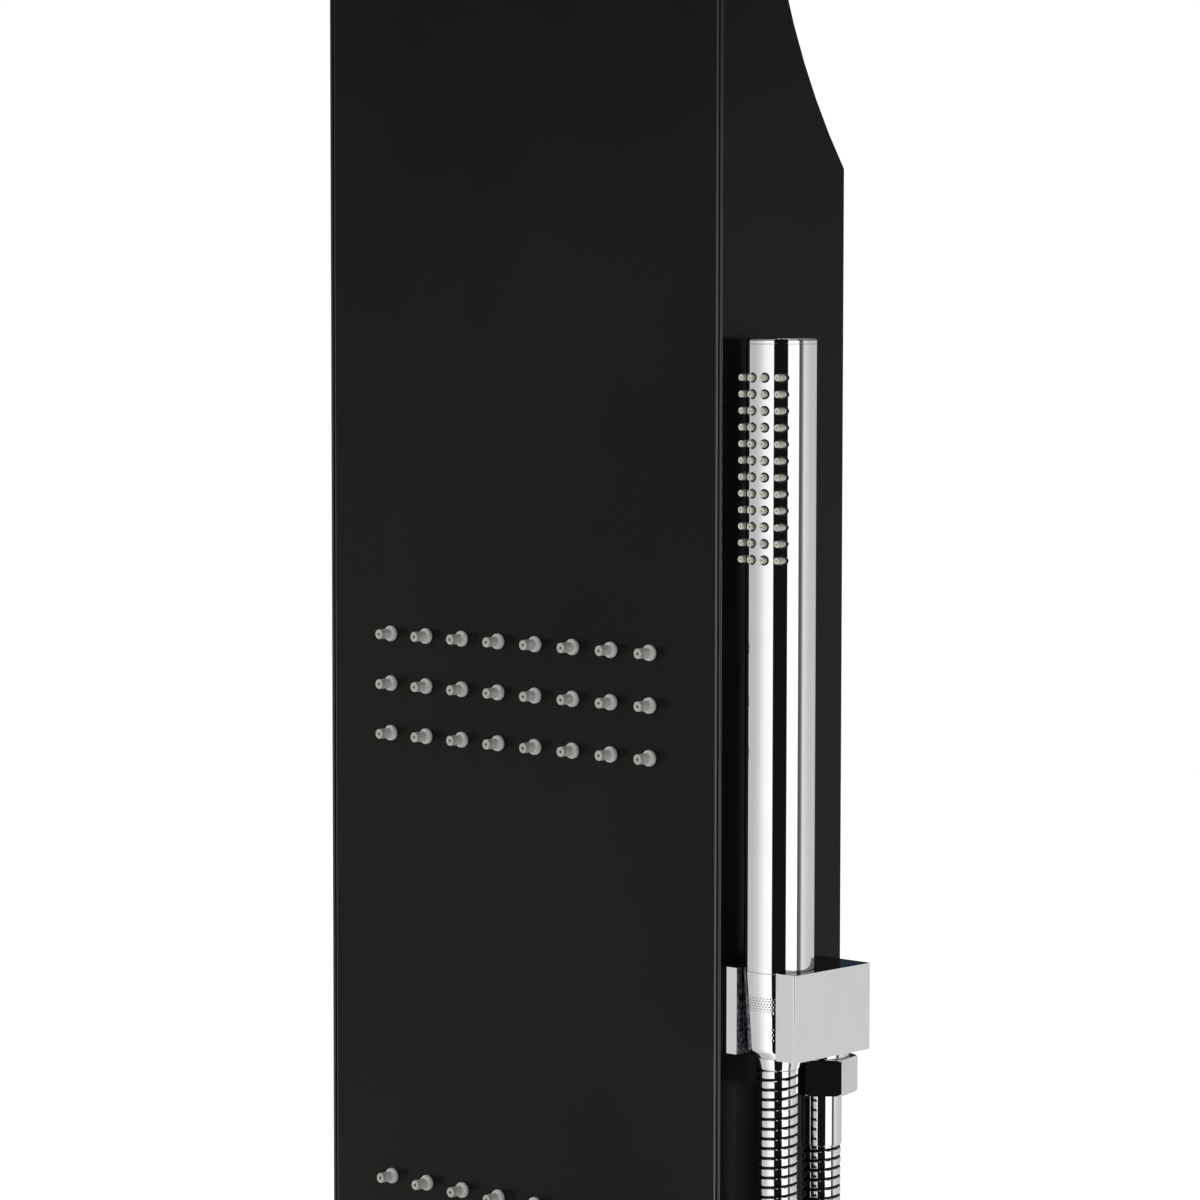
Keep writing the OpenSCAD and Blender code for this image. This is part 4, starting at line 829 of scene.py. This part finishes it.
# Mixer and diverter.
MIX_H, DIV_H = 360.0, 480.0
turned("mixer_plate", [(19.7, 0.0), (33.0, 0.0), (33.0, 2.2), (30.5, 4.0), (19.7, 4.0)],
       at_front(0, MIX_H), "mixer_trim", 1.2, 4)
turned("mixer_neck", [(19.7, 4.05), (22.6, 4.05), (23.0, 4.6), (23.0, 26.0), (20.6, 26.0),
                      (20.6, 11.2), (19.7, 11.2)],
       at_front(0, MIX_H), "mixer_sleeve", 0.4, 4)
softened("mixer_cap", 0.5, 3)
turned("diverter_plate", [(14.1, 0.0), (27.0, 0.0), (27.0, 2.2), (25.0, 4.0), (14.1, 4.0)],
       at_front(0, DIV_H), "diverter_trim", 1.0, 4)
softened("diverter_knob", 0.6, 3)

# Lever: its ball, in the middle of which it turns, its rod, and the ball's height.
BALL_R, ROD_R, LEVER_LEN, BALL_OUT = 12.0, 4.5, 85.0, 24.0
NECK_ANGLE, BALL_STEPS, END_STEPS = 22, 24, 12


def lever_mesh():
    """The foot in the cartridge, the ball, a slightly waisted rod and its round end."""
    pts = [(0.0, -14.0), (3.8, -14.0), (ROD_R, -13.2), (ROD_R, -11.2)]
    for k in range(BALL_STEPS + 1):
        a = radians(NECK_ANGLE + k * (180 - 2 * NECK_ANGLE) / BALL_STEPS)
        pts.append((BALL_R * sin(a), -BALL_R * cos(a)))
    pts += [(ROD_R, 12.0), (ROD_R - 0.5, 30.0), (ROD_R - 0.3, 60.0), (ROD_R, 76.0)]
    for k in range(1, END_STEPS):
        a = radians(k * 90 / END_STEPS)
        pts.append((ROD_R * cos(a), LEVER_LEN - ROD_R + ROD_R * sin(a)))
    return lathe(pts + [(0.0, LEVER_LEN)], 96)


add("lever",
    to_mesh(lever_mesh(), "lever", at_front(0, MIX_H) @ Matrix.Translation((0, 0, BALL_OUT * MM)),
            35),
    CHROME, "mixer_lever_body", "mixer_lever")

# Every other CAD node.
for node, obj in frame["nodes"].items():
    for place in obj.material_slots:
        place.link = "OBJECT"
        place.material = FINISH[SLOT_OF[node]]

# Stage: a pale floor under the hose's loop that fades into the white background.
FLOOR_Z, FLOOR_HALF = -1.03, 6.0
floor_mesh = bpy.data.meshes.new("floor")
floor_mesh.from_pydata([(x * FLOOR_HALF, y * FLOOR_HALF, FLOOR_Z)
                        for x, y in ((-1, -1), (1, -1), (1, 1), (-1, 1))], [], [(0, 1, 2, 3)])
floor = bpy.data.objects.new("floor", floor_mesh)
bpy.context.scene.collection.objects.link(floor)
fm, fn, fl, fs = material("pale_floor", (0.3, 0.3, 0.3), 0.8)
fs.inputs["Specular IOR Level"].default_value = 0.0
away = fn.new("ShaderNodeVectorMath")
away.operation = "LENGTH"
fl.new(fn.new("ShaderNodeTexCoord").outputs["Object"], away.inputs[0])
fl.new(spread(fn, fl, away.outputs["Value"], 0.72, 1.0, 1.3, 2.2), fs.inputs["Emission Strength"])
fl.new(tint(fn, fl, noise(fn, fl, 3.0, 3.0), (0.99, 0.99, 0.985), (1.0, 1.0, 1.0)),
       fs.inputs["Emission Color"])
floor_mesh.materials.append(fm)
floor.visible_glossy = False

world = bpy.data.worlds.new("studio")
bpy.context.scene.world = world
world.use_nodes = True
wn, wl = world.node_tree.nodes, world.node_tree.links
wn.clear()


def wnode(kind, **values):
    n = wn.new(kind)
    for key, value in values.items():
        setattr(n, key, value)
    return n


def wmath(op, a, b=None):
    n = wnode("ShaderNodeMath", operation=op)
    for i, value in enumerate((a, b)):
        if value is None:
            continue
        if isinstance(value, (int, float)):
            n.inputs[i].default_value = value
        else:
            wl.new(value, n.inputs[i])
    return n.outputs[0]


direction = wnode("ShaderNodeTexCoord").outputs["Generated"]
split = wnode("ShaderNodeSeparateXYZ")
wl.new(direction, split.inputs[0])
# Both run from 0 to 1: around over the whole turn, lift from straight down to straight up.
turn = wmath("ARCTAN2", split.outputs["Y"], split.outputs["X"])
around = wmath("FRACT", wmath("ADD", wmath("DIVIDE", turn, 2 * pi), 1.0))
rise = wmath("DIVIDE", wmath("ARCSINE", split.outputs["Z"]), pi / 2)
lift = wmath("ADD", wmath("MULTIPLY", rise, 0.5), 0.5)


def add_stops(ramp_node, places):
    """Grey stops at (place, brightness)."""
    for place, value in places:
        ramp_node.color_ramp.elements.new(place).color = (value, value, value, 1)



# Light round the object, by direction: 0 is +X, and it grows towards +Y. Degrees, brightness.
AROUND = [
    (0, 1.3), (9.5, 1.3), (11, 0.1), (18, 0.1), (22, 0.2), (25.5, 0.3), (28.5, 0.78),
    (40, 0.73), (50, 0.65), (62, 0.60), (90, 0.58), (112, 0.5), (122, 0.08), (130, 0.012),
    (160, 0.012), (162, 1.3), (173, 1.1), (178, 0.66), (188, 0.55), (213, 0.55),
    (226, 0.61), (237.5, 0.70), (246.5, 0.84), (254.5, 0.97), (262.5, 1.07), (274, 1.1),
    (285.5, 1.2), (287, 0.007), (332, 0.007), (333.5, 1.3), (360, 1.3),
]
ramp = wnode("ShaderNodeValToRGB")
stops = ramp.color_ramp.elements
while len(stops) > 1:
    stops.remove(stops[0])
stops[0].position = 0.0
stops[0].color = (AROUND[0][1],) * 3 + (1,)
add_stops(ramp, [(deg / 360.0, value) for deg, value in AROUND[1:]])
wl.new(around, ramp.inputs["Fac"])

# Light by height: full up to a little above the horizon, then dimmer, with a soft top light.
height = wnode("ShaderNodeValToRGB")
stops = height.color_ramp.elements
stops[0].position, stops[0].color = 0.0, (0.9, 0.9, 0.9, 1)
stops[1].position, stops[1].color = 1.0, (0.55, 0.55, 0.55, 1)
add_stops(height, [(0.42, 1.08), (0.499, 1.0), (0.511, 0.64), (0.522, 0.4), (0.54, 0.3),
                   (0.6, 0.25)])
wl.new(lift, height.inputs["Fac"])

mix = wnode("ShaderNodeMix", data_type="RGBA", blend_type="MULTIPLY")
mix.inputs[0].default_value = 1.0
wl.new(ramp.outputs["Color"], mix.inputs[6])
wl.new(height.outputs["Color"], mix.inputs[7])
studio = wnode("ShaderNodeBackground")

# A faint blue patch behind the object, a little above the horizon, seen in the block's top.
patch = 1.0
for socket, stops_at in ((around, [(112, 0), (122, 1), (150, 1), (162, 0)]),
                         (lift, [(186, 0), (194, 1), (216, 1), (225, 0)])):
    mask = wnode("ShaderNodeValToRGB")
    stops = mask.color_ramp.elements
    add_stops(mask, [(deg / 360, value) for deg, value in stops_at])
    stops[0].color = stops[-1].color = (0, 0, 0, 1)
    wl.new(socket, mask.inputs["Fac"])
    patch = wmath("MULTIPLY", patch, mask.outputs["Color"])
blue = wnode("ShaderNodeMix", data_type="RGBA", blend_type="ADD")
wl.new(patch, blue.inputs[0])
wl.new(mix.outputs[2], blue.inputs[6])
blue.inputs[7].default_value = (0.012, 0.021, 0.036, 1)
wl.new(blue.outputs[2], studio.inputs["Color"])

# The camera sees plain white.
white = wnode("ShaderNodeBackground")
white.inputs["Color"].default_value = (1, 1, 1, 1)
white.inputs["Strength"].default_value = 1.0
choose = wnode("ShaderNodeMixShader")
wl.new(wnode("ShaderNodeLightPath").outputs["Is Camera Ray"], choose.inputs[0])
wl.new(studio.outputs[0], choose.inputs[1])
wl.new(white.outputs[0], choose.inputs[2])
wl.new(choose.outputs[0], wnode("ShaderNodeOutputWorld").inputs["Surface"])


def softbox(name, place, target, size, power):
    light = bpy.data.lights.new(name, "AREA")
    light.shape, light.size, light.size_y = "RECTANGLE", size[0], size[1]
    light.energy = power
    obj = bpy.data.objects.new(name, light)
    bpy.context.scene.collection.objects.link(obj)
    obj.location = place
    obj.rotation_euler = (Vector(target) - Vector(place)).to_track_quat("-Z", "Y").to_euler()
    obj.visible_glossy = False
    obj.visible_camera = False


softbox("key_left", (-1.6, -2.2, 1.2), (0, -0.05, -0.1), (1.2, 1.6), 60)
softbox("fill_right", (2.2, -1.6, 0.4), (0.1, -0.05, -0.2), (1.0, 1.6), 20)
